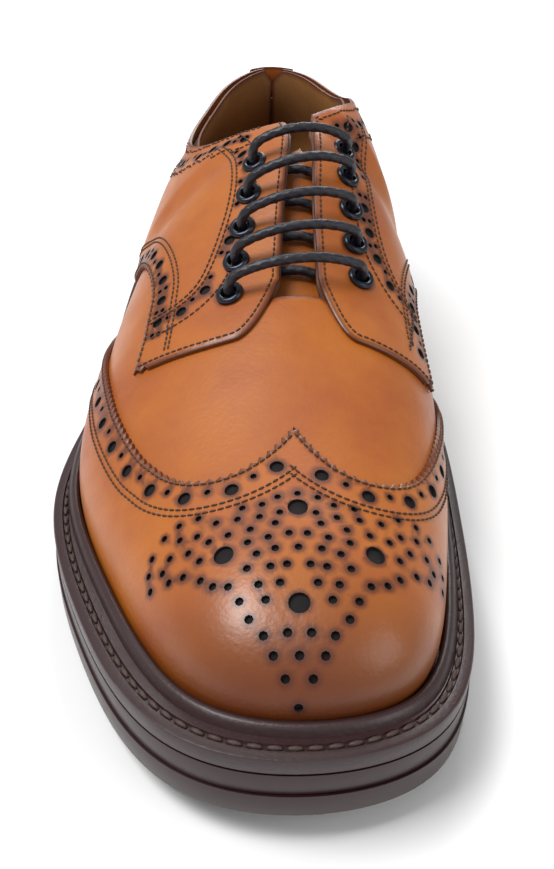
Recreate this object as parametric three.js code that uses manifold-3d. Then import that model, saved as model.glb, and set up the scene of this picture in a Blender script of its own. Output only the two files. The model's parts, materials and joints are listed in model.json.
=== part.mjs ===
// A laced leather shoe for the right foot: wing cap, open lacing, storm welt, double sole and stacked heel.
// Millimetres. +Z is up, the toe is at -Y, the heel at +Y and the foot's inner side at +X.
// The origin is on the ground, under the middle of the outsole.
import * as THREE from "three";
import Module from "manifold-3d";

const wasm = await Module();
wasm.setup();

// ---- Driving sizes ----
const LENGTH = 306; // outsole, heel to toe
const WIDTH = 114; // outsole, across the ball
const UPPER_HEIGHT = 46; // back of the heel, from the welt's underside to the topline
const HEEL_HEIGHT = 27;
const TOE_SPRING = 9;
const OUTSOLE_T = 6.2;
const MIDSOLE_T = 6.2;
const WELT_T = 4.6;
const RIM_RISE = 2.4; // the storm welt's bead, over the welt
const BEAD_W = 3;
const INSOLE_T = 3;
const CORK_T = 2.6;
const TOP_PIECE_T = 6.2;
const LIFTS = 3;
const EDGE_FORE = 10.4; // how far the sole stands out from the upper
const EDGE_HEEL = 8.5;
const GAP = 0.3; // running gap between neighbouring pieces
const LINING_T = 1.0;
const VAMP_T = 1.1;
const QUARTER_T = 1.2;
const COUNTER_T = 1.0;
const STRIP_T = 0.8;
const EYELETS = 5; // a side
const EYELET_FIRST_Y = -31; // lowest pair
const EYELET_LAST_Y = 13.6; // highest pair
const EYELET_SKEW = 3.3; // the inner row sits this much further back, the outer row further forward
const EYELET_REACH = 22; // lowest pair, girth from the middle line
const EYELET_REACH_TOP = 15.8;
const EYELET_BORE_R = 2.2;
const EYELET_FLANGE_R = 4;
const FACING_GAP = 13.2; // between the two facings, at the lowest eyelets
const FACING_GAP_TOP = 8.6;
const LACE_R = 1.4;

// ---- The last ----
// Its size is read at twelve stations, from the back of the heel round to the tip of the toe.
const STATIONS = 12;
const RING = 2 * STATIONS - 2;
const TABLE_LENGTH = 306; // the sole size that the tables below are written for
const TABLE_WIDTH = 114;
const TABLE_HEIGHT = 46;
// The sole's edge: y, x on the outer side, x on the inner side.
const SOLE_LINE = [
  [155, 2, 2], [149, -16, 20], [128.5, -35, 39], [96.5, -38, 41], [67, -38, 41], [41, -46, 45],
  [9.5, -49, 52.5], [-24, -53, 57.5], [-65.5, -59.5, 56], [-108, -43, 53], [-146.5, -23, 43.5],
  [-156.5, 6, 6],
];
// The topline, the instep's ridge and the top of the toe: y, x outer, x inner, height outer, height inner.
const TOP_LINE = [
  [138, 1, 1, 46.5, 46.5], [133, -9, 17, 45, 45], [115, -18.5, 23.5, 43, 44], [91, -23, 29.5, 40.5, 45.5],
  [64, -31, 30.5, 34.5, 53.5], [40, -18, 28, 51, 65.5], [24, 11.5, 13.5, 73.5, 73.5],
  [0, 9.5, 9.5, 68.5, 68.5], [-36, 11, 11, 56, 56], [-76, 8, 8, 40, 40], [-103, 9, 9, 33.5, 33.5],
  [-103, 9, 9, 33.5, 33.5],
];
// How full each cross-section is: bulge and rise at the feather, run and drop at the top; outer, then inner.
const FULLNESS = [
  [6, 22, 0, 20, 6, 22, 0, 20], [6, 22, 0, 20, 6, 22, 0, 20], [5, 22, 0, 16, 5, 22, 0, 16],
  [6, 21, 0, 14, 6, 21, 0, 14], [12, 25, 2, 12, 8.5, 23, 2, 12], [12, 23, 13, 8, 12, 22, 12, 8],
  [25.5, 22, 19.5, 0, 20, 27, 24, 0], [28.5, 20, 23, 0, 18.5, 30, 26, 0], [14, 19.5, 28.5, 0, 17, 26, 31, 0],
  [0.5, 19, 29.5, 0, 10, 17.5, 28.5, 0], [1, 22, 24.5, 0, 9, 22.5, 26, 0], [4, 18, 19.5, 0, 4, 18, 22, 0],
];

const SX = WIDTH / TABLE_WIDTH;
const SY = LENGTH / TABLE_LENGTH;
const SZ = UPPER_HEIGHT / TABLE_HEIGHT;
const FEATHER = OUTSOLE_T + MIDSOLE_T + GAP; // height of the welt and the upper's lower edge over the sole's underside
const FOOT_GAP = 0.2;
const UPPER_OUT = LINING_T + VAMP_T + QUARTER_T + 2 * GAP; // lining, vamp and quarter with their gaps
const RIDGE_K = 6; // the ridge is closed between this station and its twin on the inner side
const TOE_K = STATIONS - 1;

const mix = (a, b, t) => a + (b - a) * t;
const clamp01 = (t) => Math.min(1, Math.max(0, t));
const ease = (t) => clamp01(t) ** 2 * (3 - 2 * clamp01(t));

// One closed ring of values from the outer side's list and the inner side's list.
const ringOf = (outer, inner) => [...outer, ...inner.slice(1, -1).reverse()];

// Uniform cubic B-spline round a ring.
function spline(ring, k) {
  const first = Math.floor(k);
  const f = k - first;
  const g = 1 - f;
  const weights = [g ** 3, 3 * f ** 3 - 6 * f * f + 4, 3 * g ** 3 - 6 * g * g + 4, f ** 3];
  return ring[0].map((_, c) =>
    weights.reduce((sum, w, i) => sum + (w / 6) * ring[(first + i - 1 + 2 * RING) % RING][c], 0),
  );
}

const soleRing = ringOf(
  SOLE_LINE.map(([y, outer]) => [outer, y]),
  SOLE_LINE.map(([y, , inner]) => [inner, y]),
);
const topRing = ringOf(
  TOP_LINE.map(([y, outer, , height]) => [outer * SX, y * SY, height * SZ]),
  TOP_LINE.map(([y, , inner, , height]) => [inner * SX, y * SY, height * SZ]),
);
const fullRing = ringOf(
  FULLNESS.map((row) => row.slice(0, 4)),
  FULLNESS.map((row) => row.slice(4)),
);
const edgeRow = SOLE_LINE.map((_, i) => [mix(EDGE_HEEL, EDGE_FORE, clamp01((i - 3) / 2))]);
const edgeRing = ringOf(edgeRow, edgeRow);

// The spline's own box, so that the sole comes out at exactly LENGTH by WIDTH.
const soleBox = new THREE.Box2();
for (let k = 0; k < RING; k += 0.25) soleBox.expandByPoint(new THREE.Vector2(...spline(soleRing, k)));
const soleMiddle = soleBox.getCenter(new THREE.Vector2());
const soleSize = soleBox.getSize(new THREE.Vector2());

function soleEdge(k) {
  const [x, y] = spline(soleRing, k);
  return new THREE.Vector2(
    ((x - soleMiddle.x) / soleSize.x) * WIDTH,
    ((y - soleMiddle.y) / soleSize.y) * LENGTH,
  );
}

function soleOutward(k) {
  const along = soleEdge(k + 1e-3).sub(soleEdge(k - 1e-3));
  return new THREE.Vector2(along.y, -along.x).normalize();
}

// Height of the sole's underside: toe spring at the front, the waist rising to the heel seat.
const BALL_Y = -62 * SY;
const WAIST_Y = -34 * SY;
const SEAT_Y = 82 * SY;
function soleBottom(y) {
  const toe = TOE_SPRING * clamp01((BALL_Y - y) / (BALL_Y + LENGTH / 2)) ** 2;
  return toe + HEEL_HEIGHT * ease((y - WAIST_Y) / (SEAT_Y - WAIST_Y));
}

// The top line; along the ridge both sides share one line, midway between their own.
function topPoint(k) {
  const shared = ease((TOE_K - RIDGE_K + 0.5 - Math.abs(k - TOE_K)) / 0.5) / 2;
  const other = spline(topRing, RING - k);
  const [x, y, h] = spline(topRing, k).map((own, c) => mix(own, other[c], shared));
  return new THREE.Vector3(x, y, h + FEATHER + soleBottom(y));
}

// Steepness of the ridge, read off its own points.
const RIDGE_READS = 80;
const ridge = Array.from({ length: RIDGE_READS + 1 }, (_, i) => topPoint(mix(RIDGE_K, 10.3, i / RIDGE_READS)));
function ridgeSlope(y) {
  let i = 1;
  while (i < RIDGE_READS - 1 && ridge[i].y > y) i += 1;
  return (ridge[i + 1].z - ridge[i - 1].z) / (ridge[i + 1].y - ridge[i - 1].y);
}

// The upper's outer face at one station: a Bezier curve from the feather up to the top line.
function section(k) {
  const edge = soleEdge(k);
  const out = soleOutward(k);
  const [bulge, rise, run, drop] = spline(fullRing, k);
  const inset = spline(edgeRing, k)[0];
  const foot = new THREE.Vector3(edge.x - out.x * inset, edge.y - out.y * inset, 0);
  foot.z = soleBottom(foot.y) + FEATHER + FOOT_GAP;
  const top = topPoint(k);
  const toFoot = new THREE.Vector2(foot.x - top.x, foot.y - top.y).normalize();
  const fall = ridgeSlope(top.y) * toFoot.y * run - drop;
  return new THREE.CubicBezierCurve3(
    foot,
    foot.clone().add(new THREE.Vector3(out.x * bulge, out.y * bulge, rise)),
    top.clone().add(new THREE.Vector3(toFoot.x * run, toFoot.y * run, fall)),
    top,
  );
}
const skin = (k, v) => section(k).getPoint(v);

function outward(k, v) {
  const e = 1e-3;
  const onRidge = v === 1 && Math.abs(((k + RING) % RING) - TOE_K) <= TOE_K - RIDGE_K + e;
  if (onRidge) return new THREE.Vector3(0, -ridgeSlope(skin(k, 1).y), 1).normalize();
  const along = skin(k + e, v).sub(skin(k - e, v));
  const up = skin(k, Math.min(1, v + e)).sub(skin(k, Math.max(0, v - e)));
  const normal = along.cross(up).normalize();
  if (v > 0) return normal;
  // The lower edge of every layer stands on the sole.
  normal.setZ(0).normalize();
  const { y } = skin(k, 0);
  return normal.setZ((soleBottom(y + 3 * normal.y) - soleBottom(y)) / 3);
}

// The last, which the lining lies on, is the upper's thickness inside its outer face.
const last = (k, v) => skin(k, v).addScaledVector(outward(k, v), -UPPER_OUT);

// ---- The grid that every leather piece is cut from ----
const COLUMNS = 44;
const ROWS = 9;
const columnK = (i) => (i * RING) / COLUMNS;

// Corner number of column i, row j; the ridge's two sides share their corners, and the toe's top is one corner.
function cornerAt(i, j) {
  const column = (i + COLUMNS) % COLUMNS;
  const k = columnK(column);
  if (j < ROWS || Math.abs(k - TOE_K) > TOE_K - RIDGE_K + 1e-6) return column * (ROWS + 1) + j;
  if (Math.abs(k - TOE_K) < 1) return (TOE_K * COLUMNS * (ROWS + 1)) / RING + ROWS;
  return Math.min(column, COLUMNS - column) * (ROWS + 1) + ROWS;
}

const grid = [];
for (let i = 0; i < COLUMNS; i += 1) {
  const k = columnK(i);
  const curve = section(k);
  const halfMouth = skin(k, 1).distanceTo(skin(RING - k, 1)) / 2;
  const height = [0];
  for (let j = 1; j <= ROWS; j += 1) {
    height.push(height[j - 1] + curve.getPoint(j / ROWS).distanceTo(curve.getPoint((j - 1) / ROWS)));
  }
  for (let j = 0; j <= ROWS; j += 1) {
    const { x, y, z } = curve.getPoint(j / ROWS);
    grid.push({
      k,
      side: k > TOE_K ? 1 : -1,
      point: last(k, j / ROWS),
      normal: outward(k, j / ROWS),
      x,
      y,
      z,
      up: height[j], // girth from the feather
      down: height[ROWS] - height[j] + halfMouth, // girth from the middle line
    });
  }
}

// A sheet: corners as weighted mixes of grid corners, and triangles that face out.
function wholeSheet() {
  const corners = grid.map((_, id) => new Map([[id, 1]]));
  const triangles = [];
  for (let i = 0; i < COLUMNS; i += 1) {
    for (let j = 0; j < ROWS; j += 1) {
      const [a, b, c, d] = [cornerAt(i, j), cornerAt(i + 1, j), cornerAt(i + 1, j + 1), cornerAt(i, j + 1)];
      triangles.push([a, b, c], [a, c, d]);
    }
  }
  return { corners, triangles: triangles.filter(([a, b, c]) => a !== b && b !== c && c !== a) };
}

function mixed(corner, read) {
  let sum = 0;
  for (const [id, w] of corner) sum += w * read(grid[id]);
  return sum;
}

// Keeps the part of a sheet where keep() is positive. A cut that passes very near a corner goes through it.
const SNAP = 0.12;
function clip(sheet, keep) {
  const values = sheet.corners.map((corner) => mixed(corner, keep));
  const snapped = values.slice();
  const edges = sheet.triangles.flatMap(([a, b, c]) => [[a, b], [b, c], [c, a]]);
  for (const [a, b] of edges) {
    if (values[a] > 0 === values[b] > 0) continue;
    const t = values[a] / (values[a] - values[b]);
    if (t < SNAP) snapped[a] = 0;
    if (t > 1 - SNAP) snapped[b] = 0;
  }
  const corners = sheet.corners.slice();
  const made = new Map();
  const cutAt = (a, b) => {
    const key = a < b ? a + ":" + b : b + ":" + a;
    if (made.has(key)) return made.get(key);
    const t = snapped[a] / (snapped[a] - snapped[b]);
    const mixOf = new Map();
    for (const [id, w] of sheet.corners[a]) mixOf.set(id, w * (1 - t));
    for (const [id, w] of sheet.corners[b]) mixOf.set(id, (mixOf.get(id) || 0) + w * t);
    corners.push(mixOf);
    made.set(key, corners.length - 1);
    return corners.length - 1;
  };
  const triangles = [];
  for (const triangle of sheet.triangles) {
    const kept = [];
    triangle.forEach((a, n) => {
      const b = triangle[(n + 1) % 3];
      if (snapped[a] >= 0) kept.push(a);
      if (snapped[a] * snapped[b] < 0) kept.push(cutAt(a, b));
    });
    if (!triangle.some((a) => snapped[a] > 0)) continue;
    for (let n = 1; n + 1 < kept.length; n += 1) triangles.push([kept[0], kept[n], kept[n + 1]]);
  }
  return { corners, triangles };
}
const cutSheet = (...keeps) => keeps.reduce(clip, wholeSheet());

// ---- From triangles to named meshes ----
function geometryOf(points, triangles) {
  const geometry = new THREE.BufferGeometry();
  geometry.setAttribute("position", new THREE.Float32BufferAttribute(points.flatMap((p) => [p.x, p.y, p.z]), 3));
  geometry.setIndex(triangles.flat());
  return geometry;
}

// A sheet made solid between two offsets from the last; each offset is a number or a function of a grid corner.
function leather(sheet, innerOffset, outerOffset) {
  const used = [...new Set(sheet.triangles.flat())];
  const order = new Map(used.map((id, n) => [id, n]));
  const surface = (offset) =>
    used.map((id) => {
      const point = new THREE.Vector3();
      for (const [gridId, w] of sheet.corners[id]) {
        const g = grid[gridId];
        const reach = typeof offset === "function" ? offset(g) : offset;
        point.addScaledVector(g.point, w).addScaledVector(g.normal, w * reach);
      }
      return point;
    });
  const points = [...surface(outerOffset), ...surface(innerOffset)];
  const inner = used.length;
  const outerTriangles = sheet.triangles.map((t) => t.map((id) => order.get(id)));
  const triangles = outerTriangles.flatMap(([a, b, c]) => [[a, b, c], [inner + a, inner + c, inner + b]]);
  const directed = new Set(outerTriangles.flatMap(([a, b, c]) => [a + ":" + b, b + ":" + c, c + ":" + a]));
  for (const edge of directed) {
    const [a, b] = edge.split(":").map(Number);
    if (!directed.has(b + ":" + a)) triangles.push([b, a, inner + a], [b, inner + a, inner + b]);
  }
  return geometryOf(points, triangles);
}

const group = new THREE.Group();
function add(name, geometry, colour, roughness, metalness = 0) {
  const mesh = new THREE.Mesh(geometry, new THREE.MeshStandardMaterial({ color: colour, roughness, metalness }));
  mesh.name = name;
  group.add(mesh);
}

function manifoldOf(geometry) {
  const flat = geometry.index ? geometry.toNonIndexed() : geometry;
  const position = flat.getAttribute("position");
  const numbers = new Map();
  const vertices = [];
  const triVerts = [];
  for (let i = 0; i < position.count; i += 1) {
    const p = [position.getX(i), position.getY(i), position.getZ(i)];
    const key = p.map((c) => Math.round(c * 2000)).join(",");
    if (!numbers.has(key)) {
      numbers.set(key, vertices.length / 3);
      vertices.push(...p);
    }
    triVerts.push(numbers.get(key));
  }
  const whole = triVerts.filter((_, i) => {
    const [a, b, c] = triVerts.slice(i - (i % 3), i - (i % 3) + 3);
    return a !== b && b !== c && c !== a;
  });
  return new wasm.Manifold(
    new wasm.Mesh({ numProp: 3, vertProperties: new Float32Array(vertices), triVerts: new Uint32Array(whole) }),
  );
}

function geometryFrom(solid) {
  const mesh = solid.getMesh();
  const points = [];
  for (let i = 0; i < mesh.vertProperties.length; i += mesh.numProp) {
    points.push(new THREE.Vector3().fromArray(mesh.vertProperties, i));
  }
  const triangles = [];
  for (let i = 0; i < mesh.triVerts.length; i += 3) triangles.push([...mesh.triVerts.slice(i, i + 3)]);
  return geometryOf(points, triangles);
}

const minus = (geometry, cutters) =>
  geometryFrom(cutters.reduce((solid, cutter) => solid.subtract(manifoldOf(cutter)), manifoldOf(geometry)));

// ---- Sole ----
const STEPS = 33; // strips between the heel and the toe

// A plate between two heights over the ground, inset from the sole's edge, over part of the sole's length.
// from and to are how far round from the heel (0) to the toe (1), for the outer and the inner side.
function plate({ inset, low, high, from = [0, 0], to = [1, 1], steps = STEPS }) {
  const side = (k) => {
    const edge = soleEdge(k).addScaledVector(soleOutward(k), -inset(k));
    return edge;
  };
  const left = [];
  const right = [];
  for (let s = 0; s <= steps; s += 1) {
    left.push(side(TOE_K * mix(from[0], to[0], s / steps)));
    right.push(side(RING - TOE_K * mix(from[1], to[1], s / steps)));
  }
  const pointed = [from[0] === 0, to[0] === 1];
  const loop = [...left, ...right.slice(pointed[0] ? 1 : 0, pointed[1] ? steps : steps + 1).reverse()];
  const rightAt = (s) => {
    if (pointed[0] && s === 0) return 0;
    if (pointed[1] && s === steps) return steps;
    return loop.length - s - (pointed[0] ? 0 : 1);
  };
  const points = [high, low].flatMap((height) => loop.map((p) => new THREE.Vector3(p.x, p.y, height(p))));
  const n = loop.length;
  const triangles = [];
  const face = (a, b, c) => {
    if (a !== b && b !== c && c !== a) triangles.push([a, b, c], [n + a, n + c, n + b]);
  };
  for (let s = 0; s < steps; s += 1) {
    face(s, s + 1, rightAt(s + 1));
    face(s, rightAt(s + 1), rightAt(s));
  }
  for (let a = 0; a < n; a += 1) {
    const b = (a + 1) % n;
    triangles.push([b, a, n + a], [b, n + a, n + b]);
  }
  return geometryOf(points, triangles);
}

// How far out from the sole's edge (negative is inside it) a layer of the upper reaches, below a height.
function reach(k, offset, top, pick) {
  const edge = soleEdge(k);
  const out = soleOutward(k);
  const reads = [];
  for (let v = 0; v <= 0.5; v += 0.02) {
    const point = last(k, v).addScaledVector(outward(k, v), offset);
    if (point.z - soleBottom(point.y) - FEATHER > top) break;
    reads.push((point.x - edge.x) * out.x + (point.y - edge.y) * out.y);
  }
  return pick(...reads);
}

const COUNTER_OUT = UPPER_OUT + GAP + COUNTER_T;
const STRIP_OUT = COUNTER_OUT + GAP + STRIP_T;
const over = (height) => (p) => soleBottom(p.y) + height;
const nearHeel = (k) => Math.min(k, RING - k);
const outermost = (k) => (nearHeel(k) < 0.7 ? STRIP_OUT : nearHeel(k) < 4.4 ? COUNTER_OUT : UPPER_OUT);

const RUBBER = "#2b2422";
const EDGE_BROWN = "#43272b";
add("outsole", plate({ inset: () => 0, low: over(0), high: over(OUTSOLE_T) }), EDGE_BROWN, 0.45);
add(
  "midsole",
  plate({ inset: () => 0.5, low: over(OUTSOLE_T + GAP), high: over(OUTSOLE_T + MIDSOLE_T) }),
  "#4a2a2c",
  0.45,
);

// The storm welt: a flat strip with a bead standing up against the upper.
function weltProfile(k) {
  const inner = reach(k, outermost(k), WELT_T + RIM_RISE + 0.6, Math.max) + GAP;
  return [
    [-0.7, 0],
    [-0.7, WELT_T],
    [inner + BEAD_W, WELT_T],
    [inner + BEAD_W * 0.8, WELT_T + RIM_RISE * 0.7],
    [inner + BEAD_W * 0.4, WELT_T + RIM_RISE],
    [inner, WELT_T + RIM_RISE * 0.85],
    [inner, 0],
  ];
}
function weltRing() {
  const points = [];
  const triangles = [];
  const size = 7;
  for (let i = 0; i < COLUMNS; i += 1) {
    const k = columnK(i);
    const edge = soleEdge(k);
    const out = soleOutward(k);
    for (const [d, z] of weltProfile(k)) {
      const x = edge.x + out.x * d;
      const y = edge.y + out.y * d;
      points.push(new THREE.Vector3(x, y, soleBottom(y) + FEATHER + z));
    }
    for (let c = 0; c < size; c += 1) {
      const a = i * size + c;
      const b = i * size + ((c + 1) % size);
      const [a2, b2] = [a, b].map((id) => (id + size) % (COLUMNS * size));
      triangles.push([a, a2, b2], [a, b2, b]);
    }
  }
  return geometryOf(points, triangles);
}
add("welt", weltRing(), "#4b2a26", 0.55);

const INSOLE_Z = FEATHER + CORK_T + GAP;
const INSOLE_TOP = INSOLE_Z + INSOLE_T;
const insideUpper = (k) => 2 * GAP - reach(k, 0, INSOLE_TOP - FEATHER + 1.6, Math.min);
add("insole", plate({ inset: insideUpper, low: over(INSOLE_Z), high: over(INSOLE_TOP) }), "#b98a56", 0.8);
const underInsole = (k) => insideUpper(k) + 4;
add(
  "cork_filler",
  plate({
    inset: underInsole,
    low: over(FEATHER),
    high: over(FEATHER + CORK_T),
    from: [0.56, 0.56],
    steps: 14,
  }),
  "#8d6b45",
  0.95,
);
add(
  "seat_filler",
  plate({
    inset: underInsole,
    low: over(FEATHER),
    high: over(FEATHER + CORK_T),
    to: [0.3, 0.3],
    steps: 10,
  }),
  "#a37c4d",
  0.9,
);
const SHANK_HALF = 6;
function shank() {
  const front = soleEdge(TOE_K * 0.56).y + 6;
  const back = soleEdge(TOE_K * 0.3).y - 8;
  const points = [];
  const triangles = [];
  const steps = 8;
  for (let s = 0; s <= steps; s += 1) {
    const y = mix(back, front, s / steps);
    for (const [x, z] of [[-SHANK_HALF, 0.2], [SHANK_HALF, 0.2], [SHANK_HALF, 2], [-SHANK_HALF, 2]]) {
      points.push(new THREE.Vector3(x, y, soleBottom(y) + FEATHER + z));
    }
  }
  for (let s = 0; s < steps; s += 1) {
    for (let c = 0; c < 4; c += 1) {
      const a = 4 * s + c;
      const b = 4 * s + ((c + 1) % 4);
      triangles.push([a, b + 4, a + 4], [a, b, b + 4]);
    }
  }
  const end = 4 * steps;
  triangles.push([0, 2, 1], [0, 3, 2], [end, end + 1, end + 2], [end, end + 2, end + 3]);
  return geometryOf(points, triangles);
}
add("shank", shank(), "#8e9298", 0.35, 1);

// ---- Heel ----
const BREAST_Y = 74 * SY;
function roundTo(y, side) {
  let [low, high] = [2 / TOE_K, 5 / TOE_K];
  for (let n = 0; n < 30; n += 1) {
    const middle = (low + high) / 2;
    const k = side < 0 ? TOE_K * middle : RING - TOE_K * middle;
    if (soleEdge(k).y > y) low = middle;
    else high = middle;
  }
  return low;
}
const breast = [roundTo(BREAST_Y, -1), roundTo(BREAST_Y, 1)];
const HEEL_STEPS = 12;
const level = (z) => () => z;
const NAIL_R = 1.3;
const NAIL_PLACES = [[0, 0.78], [-0.55, 0.6], [0.55, 0.6], [-0.62, 0.15], [0.62, 0.15]];
const heelMiddle = soleEdge(0);
const nailSpots = NAIL_PLACES.map(
  ([across, back]) => new THREE.Vector2(heelMiddle.x + across * 33 * SX, mix(BREAST_Y, LENGTH / 2, back)),
);
function upright(radius, low, high, spot, sides = 12) {
  const body = new THREE.CylinderGeometry(radius, radius, high - low, sides);
  return body.rotateX(Math.PI / 2).translate(spot.x, spot.y, (low + high) / 2);
}
add(
  "top_piece",
  minus(
    plate({ inset: () => 0.9, low: level(0), high: level(TOP_PIECE_T), to: breast, steps: HEEL_STEPS }),
    nailSpots.map((spot) => upright(NAIL_R + GAP, -1, TOP_PIECE_T - 1, spot)),
  ),
  RUBBER,
  0.85,
);
nailSpots.forEach((spot, i) => {
  add("heel_nail_" + (i + 1), upright(NAIL_R, 0.25, TOP_PIECE_T - 1 - GAP, spot, 10), "#b08d57", 0.35, 1);
});
const liftStep = (HEEL_HEIGHT - TOP_PIECE_T) / LIFTS;
for (let i = 0; i < LIFTS; i += 1) {
  const low = TOP_PIECE_T + i * liftStep + GAP;
  const isTop = i === LIFTS - 1;
  add(
    "heel_lift_" + (i + 1),
    plate({
      inset: () => 0.7 - 0.2 * i,
      low: level(low),
      high: isTop ? over(-GAP) : level(low + liftStep - GAP),
      to: breast,
      steps: HEEL_STEPS,
    }),
    EDGE_BROWN,
    0.45,
  );
}

// ---- Lines that the upper is cut to ----
// Each is positive on the side that is kept. g.down is the girth from the middle line, g.up the girth from the feather.
const seamX = soleEdge(0).x;
const onSide = (side) => (g) => (g.y > 60 * SY ? side * (g.x - seamX) - 0.25 : side * g.side * g.down);

const WING_PEAK_Y = -78 * SY;
const WING_DIP = 14 * SY;
const WING_RETURN = 8 * SY;
const WING_LAP = 9;
// The wing's sides: height over the feather, where they begin to fall, over what length, and how suddenly.
const WING_SIDES = { "-1": [33, -75, 97, 3], 1: [31, -95, 105, 2] };
const wingFront = (g) => {
  const dip = WING_DIP * (1 - (1 - clamp01(g.down / 24)) ** 2);
  return WING_PEAK_Y - dip + WING_RETURN * clamp01((g.down - 24) / 20) ** 2 - g.y;
};
const wingSide = (g) => {
  const [height, start, length, power] = WING_SIDES[g.side];
  return height * SZ * (1 - clamp01((g.y - start * SY) / (length * SY)) ** power) - g.up;
};
const inWing = (g) => (wingFront(g) + wingSide(g) + Math.hypot(wingFront(g) - wingSide(g), 5)) / 2;
const outOfWing = (g) => WING_LAP - inWing(g);

const TAB_Y = -50 * SY; // the quarter's front edge
const TAB_ROUND = 18 * SY;
const THROAT_Y = -37 * SY; // the vamp's edge between the facings
const POINT_GIRTH = 54; // the quarter's lower point, from the middle line
const tabFront = (g) => {
  const corner = TAB_ROUND * (1 - clamp01((g.down - FACING_GAP / 2) / 14)) ** 2;
  return g.y - (TAB_Y + corner + 4.5 * ease((g.down - 25) / 45));
};
const besideGap = (g) => g.down - mix(FACING_GAP, FACING_GAP_TOP, clamp01((g.y / SY + 30) / 50)) / 2;
const quarterFoot = (g) => {
  const arch = 50 * clamp01((g.y / SY + 20) / 62) ** 1.6;
  return POINT_GIRTH + arch + 2 * clamp01((-34 - g.y / SY) / 12) - g.down;
};
const quarterLines = (side) => [onSide(side), besideGap, tabFront];

// The lining's seam runs forward of the lowest eyelets; the vamp's back edge passes between them.
const SEAM_Y = -44 * SY;
const seamY = (g) => mix(SEAM_Y, 4 * SY, ease((g.down - 29) / 30));
const vampBack = (g) => {
  const behindThroat = mix(THROAT_Y, -41 * SY, ease((g.down - 8) / 6));
  return mix(behindThroat, 34 * SY, ease((g.down - 31) / 30)) - g.y;
};

const LINING_LAYER = [0, LINING_T];
const VAMP_LAYER = [LINING_T + GAP, LINING_T + GAP + VAMP_T];
const QUARTER_LAYER = [VAMP_LAYER[1] + GAP, UPPER_OUT];
const COUNTER_LAYER = [UPPER_OUT + GAP, COUNTER_OUT];
const STRIP_LAYER = [COUNTER_OUT + GAP, STRIP_OUT];

const TAN = "#b06a2c";
const TAN_DEEP = "#9c5a26";
const LINING = "#b98748";

// ---- Eyelets ----
// A place on the last, by its girth from the middle line (negative on the outer side) and how far along it lies.
const patternOf = (g) => new THREE.Vector3(g.side * g.down, g.y, 0);
const pattern = wholeSheet().triangles.map((ids) => ({ ids, corners: ids.map((id) => patternOf(grid[id])) }));
function onPattern(girth, y, offset) {
  const target = new THREE.Vector3(girth, y, 0);
  const share = new THREE.Vector3();
  const { ids } = pattern.find(({ corners }) => {
    THREE.Triangle.getBarycoord(target, ...corners, share);
    return Math.min(share.x, share.y, share.z) > -1e-6;
  });
  const found = new THREE.Vector3();
  share.toArray().forEach((weight, n) => {
    const { point, normal } = grid[ids[n]];
    found.addScaledVector(point, weight).addScaledVector(normal, weight * offset);
  });
  return found;
}
function placeAt(girth, y) {
  const d = 3;
  const across = onPattern(girth + d, y, UPPER_OUT).sub(onPattern(girth - d, y, UPPER_OUT));
  const along = onPattern(girth, y + d, UPPER_OUT).sub(onPattern(girth, y - d, UPPER_OUT));
  const normal = across.cross(along).normalize();
  return { normal, point: onPattern(girth, y, UPPER_OUT).addScaledVector(normal, -UPPER_OUT) };
}

const eyeletY = (i, side) => mix(EYELET_FIRST_Y, EYELET_LAST_Y, i / (EYELETS - 1)) * SY + side * EYELET_SKEW;
const eyeletGirth = (i) => mix(EYELET_REACH, EYELET_REACH_TOP, i / (EYELETS - 1));
const eyeletPlaces = Array.from({ length: EYELETS }, (_, i) => ({
  outer: placeAt(-eyeletGirth(i), eyeletY(i, -1)),
  inner: placeAt(eyeletGirth(i), eyeletY(i, 1)),
}));
const BARREL_R = EYELET_BORE_R + 0.5;
const LINING_HOLE_R = EYELET_BORE_R + 0.9;
// Turns a shape built along +Y round to stand along the normal at a place, its base at the last.
function stoodAt(geometry, place) {
  const turn = new THREE.Quaternion().setFromUnitVectors(new THREE.Vector3(0, 1, 0), place.normal);
  return geometry.applyQuaternion(turn).translate(place.point.x, place.point.y, place.point.z);
}
function eyelet(place) {
  const clinch = [QUARTER_LAYER[0] - 0.9, QUARTER_LAYER[0] - 0.5];
  const head = [UPPER_OUT + 0.7, UPPER_OUT + 1.6];
  const profile = [
    [EYELET_BORE_R, clinch[0]],
    [BARREL_R + 0.7, clinch[0]],
    [BARREL_R + 0.7, clinch[1]],
    [BARREL_R, clinch[1]],
    [BARREL_R, head[0]],
    [EYELET_FLANGE_R, head[0]],
    [EYELET_FLANGE_R - 0.9, head[1]],
    [EYELET_BORE_R + 0.3, head[1]],
    [EYELET_BORE_R, head[1] - 0.3],
    [EYELET_BORE_R, clinch[0]],
  ];
  return stoodAt(new THREE.LatheGeometry(profile.map(([r, y]) => new THREE.Vector2(r, y)), 12), place);
}
const punch = (place, radius, low, high) =>
  stoodAt(new THREE.CylinderGeometry(radius, radius, high - low, 12).translate(0, (low + high) / 2, 0), place);

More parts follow.
